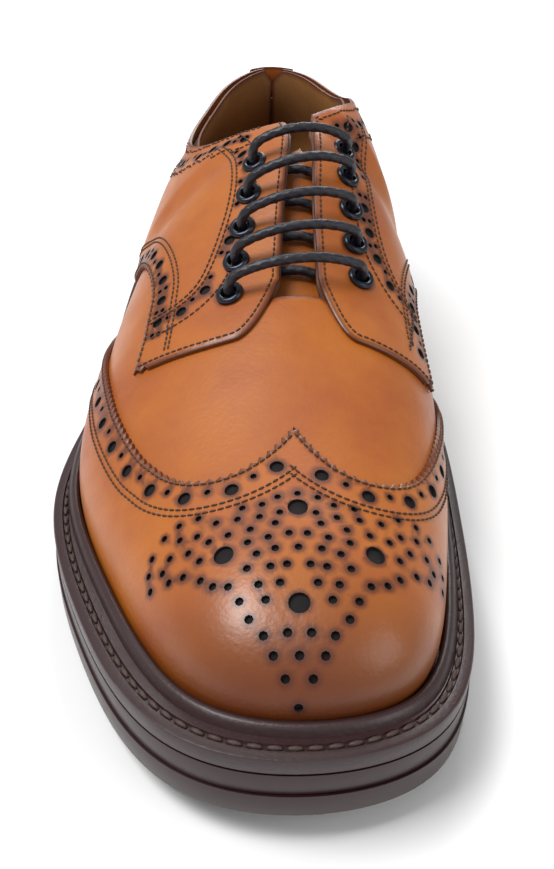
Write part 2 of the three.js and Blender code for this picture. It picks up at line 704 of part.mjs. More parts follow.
// ---- Upper ----
const sides = { outer: -1, inner: 1 };
add("vamp_lining", leather(cutSheet((g) => seamY(g) - g.y), ...LINING_LAYER), LINING, 0.7);
add("toe_puff", leather(cutSheet((g) => wingFront(g) - WING_LAP - 1.2), ...VAMP_LAYER), "#8a7a66", 0.9);
add("vamp", leather(cutSheet(outOfWing, vampBack), ...VAMP_LAYER), TAN, 0.35);
add("wing_cap", leather(cutSheet(inWing), ...QUARTER_LAYER), TAN, 0.32);
const STIFFENER_Y = 66 * SY;
add(
  "heel_stiffener",
  leather(cutSheet((g) => g.y - STIFFENER_Y, (g) => 36 * SZ - g.up), ...VAMP_LAYER),
  "#8a7a66",
  0.9,
);
for (const [name, side] of Object.entries(sides)) {
  const holes = eyeletPlaces.map((pair) => pair[name]);
  const liningLines = [...quarterLines(side), (g) => g.y - seamY(g) - 0.9];
  add(
    "quarter_lining_" + name,
    minus(
      leather(cutSheet(...liningLines), ...LINING_LAYER),
      holes.map((place) => punch(place, LINING_HOLE_R, -1.5, LINING_T + 0.5)),
    ),
    LINING,
    0.7,
  );
  add(
    "quarter_" + name,
    minus(
      leather(cutSheet(...quarterLines(side), quarterFoot), ...QUARTER_LAYER),
      holes.map((place) => punch(place, BARREL_R + GAP + 0.1, VAMP_LAYER[1], UPPER_OUT + 1)),
    ),
    TAN,
    0.35,
  );
  holes.forEach((place, i) => add("eyelet_" + name + "_" + (i + 1), eyelet(place), "#33353c", 0.35, 0.9));
}
const counterTop = (g) => 30 * SZ + 8 * ease((g.y - 110 * SY) / 30) - g.up;
add(
  "heel_counter",
  leather(cutSheet((g) => g.y - 78 * SY - 0.5 * g.up, counterTop), ...COUNTER_LAYER),
  TAN_DEEP,
  0.35,
);
const STRIP_HALF = 8;
add(
  "back_strip",
  leather(
    cutSheet(
      (g) => g.y - 110 * SY,
      (g) => STRIP_HALF - Math.abs(g.x - seamX),
      (g) => g.up - 26 * SZ,
    ),
    ...STRIP_LAYER,
  ),
  TAN_DEEP,
  0.35,
);

// ---- Tongue ----
const TONGUE_T = 1.3;
const LACE_ROOM = 2 * LACE_R + 1.6;
const TONGUE_ROOT_Y = THROAT_Y - 19 * SY;
const tongueTop = (g) => -mix(GAP + 0.2, LACE_ROOM, clamp01((g.y - TONGUE_ROOT_Y - 2) / 8));
const tongueSheet = cutSheet(
  (g) => TOE_K - RIDGE_K + 0.01 - Math.abs(g.k - TOE_K),
  (g) => g.y - TONGUE_ROOT_Y,
  (g) => mix(20, 27, clamp01((g.y - TONGUE_ROOT_Y) / 50)) - g.down,
);
add("tongue", leather(tongueSheet, (g) => tongueTop(g) - TONGUE_T, tongueTop), TAN, 0.4);

// ---- Insole cover at the heel ----
const SOCK_T = 1.1;
add(
  "heel_sock",
  plate({
    inset: (k) => GAP - reach(k, 0, INSOLE_TOP - FEATHER + 3.5, Math.min),
    low: over(INSOLE_TOP + GAP),
    high: over(INSOLE_TOP + GAP + SOCK_T),
    to: [0.36, 0.36],
    steps: 12,
  }),
  LINING,
  0.7,
);

// ---- Lace ----
// Its rings stand close together where it bends and far apart along the bars.
class LacePath extends THREE.CatmullRomCurve3 {
  getPointAt(u, target) {
    return this.getPoint(u, target);
  }
  getTangentAt(u, target) {
    return this.getTangent(u, target);
  }
}
const UNDER = -(LACE_R + 0.55); // the lace's middle between the lining and the tongue
const BAR_ARCH = 4.5;
// Where the lace passes through an eyelet: towards its bar above, towards its next run below.
function bend(place, towards, steps) {
  const along = towards.clone().sub(place.point);
  along.addScaledVector(place.normal, -along.dot(place.normal)).normalize();
  return steps.map(([run, height]) =>
    place.point.clone().addScaledVector(along, run).addScaledVector(place.normal, height),
  );
}
const ABOVE = [[0, 3.6], [0.25, 6], [1.5, 8], [3.8, 9.4]];
const BELOW = [[0, 1.2], [0.5, UNDER + 0.8], [2, UNDER], [4, UNDER]];
const bar = (pair) => {
  const [outer, inner] = [pair.outer, pair.inner];
  const left = bend(outer, inner.point, ABOVE);
  const right = bend(inner, outer.point, ABOVE).reverse();
  const lift = outer.normal.clone().add(inner.normal).normalize();
  const crest = (t) => left[3].clone().lerp(right[0], t).addScaledVector(lift, BAR_ARCH * 4 * t * (1 - t));
  return [...left, crest(0.3), crest(0.7), ...right];
};
// A point of the lace between the lining and the tongue, or deeper inside.
function beneath(girth, y, sink = 0) {
  const place = placeAt(girth, y);
  return place.point.addScaledVector(place.normal, UNDER - sink);
}
const RUN_CLEAR = 7; // how far from an eyelet's middle a run has come down to the tongue
const underRun = (from, to, stops) =>
  Array.from({ length: stops + 1 }, (_, i) => beneath(mix(from[0], to[0], i / stops), mix(from[1], to[1], i / stops)));
const start = [[30, 9, 4], [22, 7, 2], [14, 5, 0.8], [RUN_CLEAR, 3, 0]].map(([run, back, sink]) =>
  beneath(-eyeletGirth(0) - run, eyeletY(0, -1) + back, sink),
);
const lacePoints = [...start, ...bend(eyeletPlaces[0].outer, start[start.length - 1], BELOW).reverse()];
for (let i = 0; i < EYELETS; i += 1) {
  lacePoints.push(...bar(eyeletPlaces[i]));
  if (i === EYELETS - 1) break;
  const [from, to] = [eyeletY(i, 1), eyeletY(i + 1, -1)];
  const near = [eyeletGirth(i) - RUN_CLEAR, mix(from, to, 0.25)];
  const far = [RUN_CLEAR - eyeletGirth(i + 1), mix(from, to, 0.75)];
  const run = underRun(near, far, 4);
  lacePoints.push(...bend(eyeletPlaces[i].inner, run[0], BELOW), ...run);
  lacePoints.push(...bend(eyeletPlaces[i + 1].outer, run[run.length - 1], BELOW).reverse());
}
// The last end goes down inside, along the inner wall, and forward over the insole.
const topInner = eyeletPlaces[EYELETS - 1].inner;
const inside = (k, v, depth) => last(k, v).addScaledVector(outward(k, v), -depth);
const pastTongue = [32, 39].map((girth, i) => beneath(girth, eyeletY(EYELETS - 1, 1) - 1 + 2 * i, 0.4 + 0.5 * i));
const onInsole = (k, depth) => {
  const point = inside(k, 0.15, depth);
  return point.setZ(soleBottom(point.y) + INSOLE_TOP + LACE_R + 0.9);
};
const tail = [
  ...pastTongue, inside(16, 0.42, 3), inside(15.9, 0.28, 3.4), inside(15.7, 0.18, 5),
  onInsole(15.4, 9), onInsole(14.9, 13), onInsole(14.4, 17),
];
lacePoints.push(...bend(topInner, tail[0], BELOW), ...tail);
const laceSides = Array.from({ length: 6 }, (_, i) => (i * Math.PI) / 3);
const laceShape = new THREE.Shape(
  laceSides.map((turn) => new THREE.Vector2(Math.cos(turn), Math.sin(turn)).multiplyScalar(LACE_R)),
);
const lacePath = new LacePath(lacePoints, false, "centripetal");
add(
  "lace",
  new THREE.ExtrudeGeometry(laceShape, {
    steps: 2 * (lacePoints.length - 1),
    extrudePath: lacePath,
    curveSegments: 1,
  }),
  "#16171f",
  0.5,
);
const AGLET_LENGTH = 11;
[0, 1].forEach((end) => {
  const direction = lacePath.getTangent(end).multiplyScalar(end ? 1 : -1);
  const body = new THREE.CylinderGeometry(LACE_R - 0.1, LACE_R - 0.2, AGLET_LENGTH, 10);
  body.applyQuaternion(new THREE.Quaternion().setFromUnitVectors(new THREE.Vector3(0, 1, 0), direction));
  const middle = lacePath.getPoint(end).addScaledVector(direction, AGLET_LENGTH / 2 + 0.25);
  add("lace_aglet_" + (end + 1), body.translate(middle.x, middle.y, middle.z), "#1b1b20", 0.3);
});

export default group;
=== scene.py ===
import json
import math

import bmesh
import bpy
import numpy as np
from bpy.props import FloatProperty, FloatVectorProperty, PointerProperty
from mathutils import Matrix, Vector
from mathutils.bvhtree import BVHTree
from mathutils.geometry import delaunay_2d_cdt
from mathutils.kdtree import KDTree


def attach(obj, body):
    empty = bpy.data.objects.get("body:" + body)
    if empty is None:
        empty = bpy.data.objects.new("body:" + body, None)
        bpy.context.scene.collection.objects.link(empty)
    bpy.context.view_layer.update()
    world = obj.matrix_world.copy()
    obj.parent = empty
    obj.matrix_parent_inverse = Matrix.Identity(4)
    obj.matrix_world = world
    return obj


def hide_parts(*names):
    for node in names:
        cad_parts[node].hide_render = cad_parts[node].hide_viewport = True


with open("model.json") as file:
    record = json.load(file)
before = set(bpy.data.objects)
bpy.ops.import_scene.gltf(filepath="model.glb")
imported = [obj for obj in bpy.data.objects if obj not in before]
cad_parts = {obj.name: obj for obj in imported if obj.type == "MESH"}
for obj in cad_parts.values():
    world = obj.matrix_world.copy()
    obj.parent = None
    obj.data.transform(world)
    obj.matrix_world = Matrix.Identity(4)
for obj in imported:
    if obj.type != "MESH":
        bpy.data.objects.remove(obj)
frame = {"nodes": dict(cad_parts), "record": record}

bl_info = {
    "name": "Wing-cap derby shoe",
    "version": (1, 0, 0),
    "blender": (4, 5, 0),
    "location": "View3D > Sidebar > Shoe",
    "description": "Makes a laced leather shoe round its packed model",
    "category": "Add Mesh",
}

MM = 0.001
LENGTH, WIDTH = 306.0, 114.0  # outsole, millimetres
OUTSOLE_T, MIDSOLE_T, WELT_T = 6.2, 6.2, 4.6
RIM_RISE, BEAD_W = 2.4, 3.0
HEEL_HEIGHT, TOE_SPRING, TOP_PIECE_T, LIFTS = 27.0, 9.0, 6.2, 3
GAP = 0.3  # running gap between neighbouring pieces
FEATHER = OUTSOLE_T + MIDSOLE_T + GAP  # underside of the upper, over the sole's underside
LINING, VAMP, QUARTER = (0.0, 1.0), (1.3, 2.4), (2.7, 3.9)  # layers, measured out from the last
COUNTER, STRIP = (4.2, 5.2), (5.5, 6.3)
UPPER_OUT = QUARTER[1]
STITCH_LIFT = 0.12  # how far a stitch stands off the leather that it is sewn to
LOOP_SHIFT = 1.3  # between the two short rows that tack each facing down
LACE_SWELL = 1.03  # the braid's rounded strands reach past its core
STATIONS, RING, RIDGE_K, TOE_K = 12, 22, 6, 11
BREAST_ROUND = 0.343  # how far round from the heel the heel block reaches, of the way to the toe

# The sole's edge: y, x on the outer side, x on the inner side.
SOLE_LINE = [
    (155, 2, 2), (149, -16, 20), (128.5, -35, 39), (96.5, -38, 41), (67, -38, 41), (41, -46, 45),
    (9.5, -49, 52.5), (-24, -53, 57.5), (-65.5, -59.5, 56), (-108, -43, 53), (-146.5, -23, 43.5),
    (-156.5, 6, 6),
]
# Topline, instep ridge and top of the toe: y, x outer, x inner, height outer, height inner.
TOP_LINE = [
    (138, 1, 1, 46.5, 46.5), (133, -9, 17, 45, 45), (115, -18.5, 23.5, 43, 44), (91, -23, 29.5, 40.5, 45.5),
    (64, -31, 30.5, 34.5, 53.5), (40, -18, 28, 51, 65.5), (24, 11.5, 13.5, 73.5, 73.5),
    (0, 9.5, 9.5, 68.5, 68.5), (-36, 11, 11, 56, 56), (-76, 8, 8, 40, 40), (-103, 9, 9, 33.5, 33.5),
    (-103, 9, 9, 33.5, 33.5),
]
# Bulge and rise at the feather, run and drop at the top; outer side, then inner side.
FULLNESS = [
    (6, 22, 0, 20, 6, 22, 0, 20), (6, 22, 0, 20, 6, 22, 0, 20), (5, 22, 0, 16, 5, 22, 0, 16),
    (6, 21, 0, 14, 6, 21, 0, 14), (12, 25, 2, 12, 8.5, 23, 2, 12), (12, 23, 13, 8, 12, 22, 12, 8),
    (25.5, 22, 19.5, 0, 20, 27, 24, 0), (28.5, 20, 23, 0, 18.5, 30, 26, 0),
    (14, 19.5, 28.5, 0, 17, 26, 31, 0), (0.5, 19, 29.5, 0, 10, 17.5, 28.5, 0),
    (1, 22, 24.5, 0, 9, 22.5, 26, 0), (4, 18, 19.5, 0, 4, 18, 22, 0),
]
LACE_ROUTE = [  # millimetres, from the end under the outer quarter to the end on the insole
    (-24.93, -23.34, 47.46), (-21.85, -25.45, 51.69), (-16.72, -27.49, 55.83), (-11.94, -29.57, 58.48),
    (-10.22, -30.7, 59.32), (-8.47, -31.6, 59.67), (-7.43, -32.53, 60.65), (-7.79, -33.47, 62.83),
    (-8.59, -34.21, 64.96), (-9.17, -34.92, 67.2), (-8.7, -35.4, 69.46), (-7.06, -35.58, 71.58),
    (2.95, -35.52, 75.66), (16.15, -33.67, 76.38), (25.95, -30.96, 73.38), (27.46, -29.66, 71.57),
    (27.8, -28.52, 69.54), (27.08, -27.6, 67.42), (26.14, -26.76, 65.38), (24.8, -25.85, 63.61),
    (23.2, -25.28, 63.64), (21.48, -24.88, 64.59), (20.04, -24.46, 65.02), (15.38, -23.9, 66.62),
    (10.94, -23.1, 67.6), (5.47, -22.56, 67.06), (0.34, -22.17, 66.07), (-1.63, -21.83, 65.79),
    (-3.51, -21.38, 65.28), (-5.18, -21.35, 65.58), (-6.42, -22.13, 67.48), (-7.22, -23.04, 69.55),
    (-7.78, -23.92, 71.73), (-7.3, -24.56, 73.95), (-5.66, -24.86, 76.06), (3.7, -24.96, 80.33),
    (15.95, -23.06, 81.41), (24.99, -20.11, 78.77), (26.44, -18.67, 77.02), (26.72, -17.43, 75.03),
    (25.96, -16.44, 72.97), (24.98, -15.55, 70.97), (23.61, -14.55, 69.27), (22.05, -13.89, 69.37),
    (20.4, -13.41, 70.39), (19.02, -12.96, 71.01), (15.05, -12.2, 72.31), (10.99, -11.47, 73.1),
    (6.05, -11.06, 72.67), (1.74, -10.64, 71.99), (-0.26, -10.26, 71.3), (-2.15, -9.95, 70.74),
    (-3.83, -10.04, 71.01), (-5.05, -10.91, 72.89), (-5.81, -11.88, 74.95), (-6.34, -12.82, 77.11),
    (-5.83, -13.48, 79.32), (-4.18, -13.77, 81.42), (4.58, -14.1, 85.67), (15.96, -12.32, 86.81),
    (24.27, -9.34, 84.27), (25.66, -7.74, 82.61), (25.89, -6.37, 80.7), (25.08, -5.28, 78.71),
    (24.06, -4.29, 76.77), (22.65, -3.22, 75.15), (21.1, -2.55, 75.32), (19.48, -2.09, 76.4),
    (18.03, -1.58, 76.97), (14.55, -0.95, 78.18), (10.74, -0.36, 79.15), (7.04, 0.15, 78.83),
    (3.15, 0.52, 78.14), (1.4, 0.85, 77.48), (-0.48, 1.17, 76.85), (-2.16, 1.08, 77.06),
    (-3.45, 0.23, 78.9), (-4.29, -0.73, 80.93), (-4.91, -1.66, 83.07), (-4.48, -2.31, 85.3),
    (-2.91, -2.6, 87.47), (5.61, -2.65, 91.8), (16.5, -0.73, 92.97), (24.34, 2.21, 90.39),
    (25.49, 3.74, 88.5), (25.48, 4.97, 86.49), (24.45, 5.84, 84.49), (23.22, 6.6, 82.57),
    (21.63, 7.47, 80.99), (20.07, 8.1, 81.24), (18.54, 8.6, 82.42), (17.17, 9.09, 83.13),
    (14.48, 10.02, 84.2), (11.24, 10.81, 85.19), (8.22, 11.14, 84.86), (4.84, 11.28, 84.33),
    (3.21, 11.48, 83.47), (1.41, 11.67, 82.61), (-0.29, 11.61, 82.65), (-1.77, 11.02, 84.45),
    (-2.82, 10.38, 86.51), (-3.66, 9.78, 88.69), (-3.48, 9.49, 91.02), (-2.15, 9.55, 93.36),
    (5.8, 9.31, 97.2), (16.15, 10.74, 97.61), (23.71, 13.11, 94.37), (24.8, 14.76, 92.54),
    (24.74, 16.07, 90.58), (23.67, 17, 88.63), (22.4, 17.8, 86.76), (21.55, 18.51, 84.63),
    (22.3, 18.55, 83.1), (23.87, 18.24, 81.9), (29.67, 17.65, 74.56), (32.27, 19.42, 71.09),
    (37.6, 10.37, 57.56), (41, 5.59, 44.74), (40.85, -2.18, 35.06), (37.92, -12.55, 23.33),
    (34.85, -29.06, 21.04), (30.57, -47.36, 20.9),
]
EYELET_SPOTS = [  # foot of the eyelet on the last, then its axis
    ("outer_1", (-7.381, -33.104, 61.758), (-0.3366, -0.3066, 0.8903)),
    ("inner_1", (25.674, -26.348, 64.354), (0.3909, -0.3466, 0.8527)),
    ("outer_2", (-6.028, -21.672, 66.441), (-0.3301, -0.3791, 0.8645)),
    ("inner_2", (24.491, -15.100, 69.969), (0.4089, -0.3718, 0.8334)),
    ("outer_3", (-4.668, -10.427, 71.861), (-0.3165, -0.4034, 0.8586)),
    ("inner_3", (23.549, -3.804, 75.806), (0.4263, -0.4093, 0.8067)),
    ("outer_4", (-3.031, 0.704, 77.881), (-0.3499, -0.3985, 0.8478)),
    ("inner_4", (22.607, 6.981, 81.614), (0.5128, -0.3158, 0.7983)),
    ("outer_5", (-1.240, 11.346, 83.421), (-0.4393, -0.2683, 0.8574)),
    ("inner_5", (21.764, 18.207, 85.822), (0.5290, -0.3350, 0.7797)),
]


# ---- The last and the sole ----
def clamp(t):
    return np.clip(t, 0.0, 1.0)


def ease(t):
    return clamp(t) ** 2 * (3 - 2 * clamp(t))


def mix(a, b, t):
    return a + (b - a) * t


def ring_of(outer, inner):
    return np.array(list(outer) + list(inner)[1:-1][::-1], float)


def spline(ring, k):
    """Uniform cubic B-spline round a ring of values."""
    k = np.asarray(k, float)
    first = np.floor(k).astype(int)
    f = k - first
    g = 1 - f
    weights = (g**3, 3 * f**3 - 6 * f * f + 4, 3 * g**3 - 6 * g * g + 4, f**3)
    return sum(w[..., None] / 6 * ring[(first + i - 1) % RING] for i, w in enumerate(weights))


SOLE_RING = ring_of([(o, y) for y, o, _ in SOLE_LINE], [(i, y) for y, _, i in SOLE_LINE])
TOP_RING = ring_of([(o, y, h) for y, o, _, h, _ in TOP_LINE], [(i, y, h) for y, _, i, _, h in TOP_LINE])
FULL_RING = ring_of([row[:4] for row in FULLNESS], [row[4:] for row in FULLNESS])
EDGE_ROW = [(mix(8.5, 10.4, min(1, max(0, (i - 3) / 2))),) for i in range(STATIONS)]
EDGE_RING = ring_of(EDGE_ROW, EDGE_ROW)
SOLE_READS = spline(SOLE_RING, np.arange(0, RING, 0.25))
SOLE_MIDDLE = (SOLE_READS.max(0) + SOLE_READS.min(0)) / 2
SOLE_SCALE = np.array([WIDTH, LENGTH]) / (SOLE_READS.max(0) - SOLE_READS.min(0))


def unit(a):
    return a / np.maximum(np.linalg.norm(a, axis=-1, keepdims=True), 1e-12)


def sole_edge(k):
    return (spline(SOLE_RING, k) - SOLE_MIDDLE) * SOLE_SCALE


def sole_outward(k):
    k = np.asarray(k, float)
    along = sole_edge(k + 1e-3) - sole_edge(k - 1e-3)
    return unit(np.stack([along[..., 1], -along[..., 0]], -1))


def sole_bottom(y):
    """Height of the sole's underside: toe spring, flat tread, and the waist rising to the heel seat."""
    y = np.asarray(y, float)
    return TOE_SPRING * clamp((-62 - y) / (LENGTH / 2 - 62)) ** 2 + HEEL_HEIGHT * ease((y + 34) / 116)


def top_point(k):
    k = np.asarray(k, float)
    shared = ease((TOE_K - RIDGE_K + 0.5 - np.abs(k % RING - TOE_K)) / 0.5)[..., None] / 2
    p = mix(spline(TOP_RING, k), spline(TOP_RING, RING - k), shared)
    p[..., 2] += FEATHER + sole_bottom(p[..., 1])
    return p


RIDGE = top_point(np.linspace(RIDGE_K, 10.3, 81))
RIDGE_SLOPE = (RIDGE[2:, 2] - RIDGE[:-2, 2]) / (RIDGE[2:, 1] - RIDGE[:-2, 1])


def ridge_slope(y):
    return np.interp(y, RIDGE[-2:0:-1, 1], RIDGE_SLOPE[::-1])


def skin(k, v):
    """The upper's outer face: a curve at each station, from the feather (0) up to the top line (1)."""
    k, v = np.broadcast_arrays(np.asarray(k, float), np.asarray(v, float))
    edge, out = sole_edge(k), sole_outward(k)
    bulge, rise, run, drop = np.moveaxis(spline(FULL_RING, k), -1, 0)
    foot = edge - out * spline(EDGE_RING, k)
    foot = np.concatenate([foot, (sole_bottom(foot[..., 1]) + FEATHER + 0.2)[..., None]], -1)
    top = top_point(k)
    to_foot = unit(foot[..., :2] - top[..., :2])
    low = foot + np.concatenate([out * bulge[..., None], rise[..., None]], -1)
    fall = ridge_slope(top[..., 1]) * to_foot[..., 1] * run - drop
    high = top + np.concatenate([to_foot * run[..., None], fall[..., None]], -1)
    v = v[..., None]
    w = 1 - v
    return w**3 * foot + 3 * w * w * v * low + 3 * w * v * v * high + v**3 * top


def outward(k, v):
    e = 1e-3
    k, v = np.broadcast_arrays(np.asarray(k, float), np.asarray(v, float))
    along = skin(k + e, v) - skin(k - e, v)
    rise = skin(k, np.minimum(1, v + e)) - skin(k, np.maximum(0, v - e))
    n = unit(np.cross(along, rise))
    y = skin(k, v)[..., 1]
    ridge = (v == 1) & (np.abs(k % RING - TOE_K) <= TOE_K - RIDGE_K + e)
    n[ridge] = unit(np.stack([0 * y, -ridge_slope(y), 1 + 0 * y], -1))[ridge]
    foot = v == 0
    level = unit(n * (1, 1, 0))
    level[..., 2] = (sole_bottom(y + 3 * level[..., 1]) - sole_bottom(y)) / 3
    n[foot] = level[foot]
    return n


class Pattern:
    """The upper's leather laid out flat, and the way back from the flat to the last."""

    COLUMNS, ROWS = 352, 56

    def __init__(self):
        cols, rows = self.COLUMNS, self.ROWS
        k = np.arange(cols) * RING / cols
        v = np.linspace(0, 1, rows + 1)
        kk, vv = np.meshgrid(k, v, indexing="ij")
        p, n = skin(kk, vv), outward(kk, vv)
        up = np.pad(np.cumsum(np.linalg.norm(np.diff(p, axis=1), axis=2), 1), ((0, 0), (1, 0)))
        fall = up[:, -1:] - up
        mouth = np.linalg.norm(skin(k, 1.0) - skin(RING - k, 1.0), axis=1)[:, None] / 2
        side = np.where(kk > TOE_K, 1.0, -1.0)
        top = p[:, -1, :2]
        way = unit(p[:, 0, :2] - top)
        flat = top[:, None] + way[:, None] * fall[..., None]
        ids = np.arange(cols * (rows + 1)).reshape(cols, rows + 1)
        ridge = np.abs(k - TOE_K) <= TOE_K - RIDGE_K + 1e-6
        column = np.arange(cols)
        ids[ridge, rows] = np.minimum(column, cols - column)[ridge] * (rows + 1) + rows
        a, b = ids[:, :-1], np.roll(ids, -1, 0)[:, :-1]
        d, c = ids[:, 1:], np.roll(ids, -1, 0)[:, 1:]
        halves = [np.stack(corners, -1).reshape(-1, 3) for corners in ([a, b, c], [a, c, d])]
        tris = np.concatenate(halves)
        same = (tris[:, 0] == tris[:, 1]) | (tris[:, 1] == tris[:, 2]) | (tris[:, 2] == tris[:, 0])
        self.tris = tris[~same]
        self.used = np.zeros(ids.size, bool)
        self.used[self.tris] = True
        self.point, self.normal = p.reshape(-1, 3), n.reshape(-1, 3)
        self.flat = flat.reshape(-1, 2)
        self.up, self.down = up.ravel(), (fall + mouth).ravel()
        self.side, self.y, self.x = side.ravel(), self.point[:, 1], self.point[:, 0]
        self.fields = np.column_stack(
            [self.point, self.normal, self.flat, self.up, self.down, self.side]
        )
        self.flat_tree = self.tree(self.flat, self.tris)
        girth = np.column_stack([self.side * self.down, self.y])
        sides = self.side[self.tris]
        on_ridge = self.down[self.tris] < 1e-3
        one_side = (np.where(on_ridge, 0, sides).max(1) <= 0) | (np.where(on_ridge, 0, sides).min(1) >= 0)
        self.girth_tris = self.tris[one_side]
        self.girth, self.girth_tree = girth, self.tree(girth, self.girth_tris)
        edges = np.sort(np.concatenate([self.tris[:, [0, 1]], self.tris[:, [1, 2]], self.tris[:, [2, 0]]]), 1)
        edges, count = np.unique(edges, axis=0, return_counts=True)
        self.rim = edges[count == 1]

    @staticmethod
    def tree(points, tris):
        return BVHTree.FromPolygons([(x, y, 0.0) for x, y in points.tolist()], tris.tolist())

    @staticmethod
    def shares(tree, points, tris, at):
        """The triangle that each point lies in, and its share of the three corners."""
        found = [tree.find_nearest(Vector((x, y, 0.0)))[2] for x, y in np.asarray(at).tolist()]
        corners = tris[found]
        a, b, c = (points[corners[:, i]] for i in range(3))
        at = np.asarray(at, float)
        u, v, w = b - a, c - a, at - a
        area = u[:, 0] * v[:, 1] - u[:, 1] * v[:, 0]
        area = np.where(np.abs(area) < 1e-12, 1e-12, area)
        s = (w[:, 0] * v[:, 1] - w[:, 1] * v[:, 0]) / area
        t = (u[:, 0] * w[:, 1] - u[:, 1] * w[:, 0]) / area
        share = np.clip(np.column_stack([1 - s - t, s, t]), 0, 1)
        return corners, share / share.sum(1, keepdims=True)

    def read(self, flat):
        corners, share = self.shares(self.flat_tree, self.flat, self.tris, flat)
        return (self.fields[corners] * share[..., None]).sum(1)

    def lift(self, flat, height):
        """Places on the last of flat points, at a height over it."""
        row = self.read(flat)
        return row[:, :3] + unit(row[:, 3:6]) * (np.asarray(height, float) - UPPER_OUT)[:, None]

    def spot(self, pairs):
        """Flat places from girth (negative on the outer side) and y."""
        corners, share = self.shares(self.girth_tree, self.girth, self.girth_tris, pairs)
        return (self.flat[corners] * share[..., None]).sum(1)

    def stretch(self, flat):
        """How the flat turns into the surface at each point: two columns of the Jacobian."""
        h = 0.6
        reads = [self.read(flat + np.array(d))[:, :3] for d in ((h, 0), (-h, 0), (0, h), (0, -h))]
        return np.stack([(reads[0] - reads[1]) / (2 * h), (reads[2] - reads[3]) / (2 * h)], -1)

    def step(self, flat, way, distance):
        """Moves flat points along flat directions by a distance that is measured on the surface."""
        j = self.stretch(flat)
        moved = np.linalg.norm((j * way[:, None]).sum(-1), axis=1)
        return flat + way * (np.asarray(distance) / np.maximum(moved, 0.2))[:, None]

    def outline(self, values):
        """Flat loops round the part of the leather where values are positive."""
        links = {}

        def link(a, b):
            links.setdefault(a, []).append(b)
            links.setdefault(b, []).append(a)

        pos = values > 0
        inside = pos[self.tris]
        for t in self.tris[inside.any(1) & ~inside.all(1)].tolist():
            cut = [(min(a, b), max(a, b)) for a, b in zip(t, t[1:] + t[:1]) if pos[a] != pos[b]]
            link(cut[0], cut[1])
        for a, b in self.rim.tolist():
            if pos[a] and pos[b]:
                link((a, a), (b, b))
            elif pos[a] or pos[b]:
                kept = a if pos[a] else b
                link((a, b), (kept, kept))
        loops = []
        while links:
            start = next(iter(links))
            loop, here = [start], start
            while True:
                ahead = links.pop(here, None)
                if not ahead:
                    break
                nxt = next((p for p in ahead if p in links), None)
                if nxt is None:
                    break
                loop.append(nxt)
                here = nxt
            points = []
            for a, b in loop:
                t = 0 if a == b else values[a] / (values[a] - values[b])
                points.append(mix(self.flat[a], self.flat[b], t))
            loops.append(np.array(points))
        loops = [q for q in loops if len(q) > 20]
        return [q if turning(q) > 0 else q[::-1] for q in loops]


def turning(q):
    x, y = q[:, 0], q[:, 1]
    return float((x * np.roll(y, -1) - np.roll(x, -1) * y).sum()) / 2


def even(pattern, q, spacing, closed=True):
    """The same line with points at even distances on the surface."""
    line = np.vstack([q, q[:1]]) if closed else q
    p = pattern.read(line)[:, :3]
    run = np.concatenate([[0], np.cumsum(np.linalg.norm(np.diff(p, axis=0), axis=1))])
    count = max(3, int(round(run[-1] / spacing)))
    at = np.linspace(0, run[-1], count, endpoint=False) if closed else np.linspace(0, run[-1], count + 1)
    return np.column_stack([np.interp(at, run, line[:, i]) for i in range(2)])


def inward(q, closed=True):
    """Flat directions to the left of a line, which is inwards on a loop."""
    t = np.roll(q, -1, 0) - np.roll(q, 1, 0)
    if not closed:
        t = np.gradient(q, axis=0)
    t = unit(t)
    return np.column_stack([-t[:, 1], t[:, 0]])


PATTERN = Pattern()


# ---- Lines that the leather is cut to: positive on the side that is kept ----
G = PATTERN
SEAM_X = float(sole_edge(0.0)[0])


def wing_front(g=G):
    dip = 14 * (1 - (1 - clamp(g.down / 24)) ** 2)
    return -78 - dip + 8 * clamp((g.down - 24) / 20) ** 2 - g.y


def wing_side(g=G):
    outer = 33 * (1 - clamp((g.y + 75) / 97) ** 3)
    inner = 31 * (1 - clamp((g.y + 95) / 105) ** 2)
    return np.where(g.side < 0, outer, inner) - g.up


def in_wing():
    a, b = wing_front(), wing_side()
    return (a + b + np.hypot(a - b, 5)) / 2 - 0.3


def tab_front(g=G):
    corner = 18 * (1 - clamp((g.down - 6.6) / 14)) ** 2
    return g.y - (-50 + corner + 4.5 * ease((g.down - 25) / 45))


def beside_gap(g=G):
    return g.down - mix(13.2, 8.6, clamp((g.y + 30) / 50)) / 2


def quarter_foot(g=G):
    return 54 + 50 * clamp((g.y + 20) / 62) ** 1.6 + 2 * clamp((-34 - g.y) / 12) - g.down


def on_side(side, g=G):
    return np.where(g.y > 60, side * (g.x - SEAM_X) - 0.25, side * g.side * g.down)


def seam_y(g=G):
    return mix(-44, 4, ease((g.down - 29) / 30))


def vamp_back(g=G):
    throat = mix(-37, -41, ease((g.down - 8) / 6))
    return mix(throat, 34, ease((g.down - 31) / 30)) - g.y


def counter_top(g=G):
    return 30 + 8 * ease((g.y - 110) / 30) - g.up


def least(*values):
    return np.minimum.reduce(values)


# ---- Making meshes ----
def finish_mesh(name, bm, body, materials, replaces=(), sharp=40, smooth=True):
    """A bmesh in millimetres becomes a piece in metres that rides on its body."""
    bmesh.ops.scale(bm, vec=(MM, MM, MM), verts=bm.verts)
    mesh = bpy.data.meshes.new(name)
    for face in bm.faces:
        face.smooth = smooth
    bm.to_mesh(mesh)
    bm.free()
    if smooth and sharp:
        mesh.set_sharp_from_angle(angle=math.radians(sharp))
    return settle(name, mesh, body, materials, replaces)


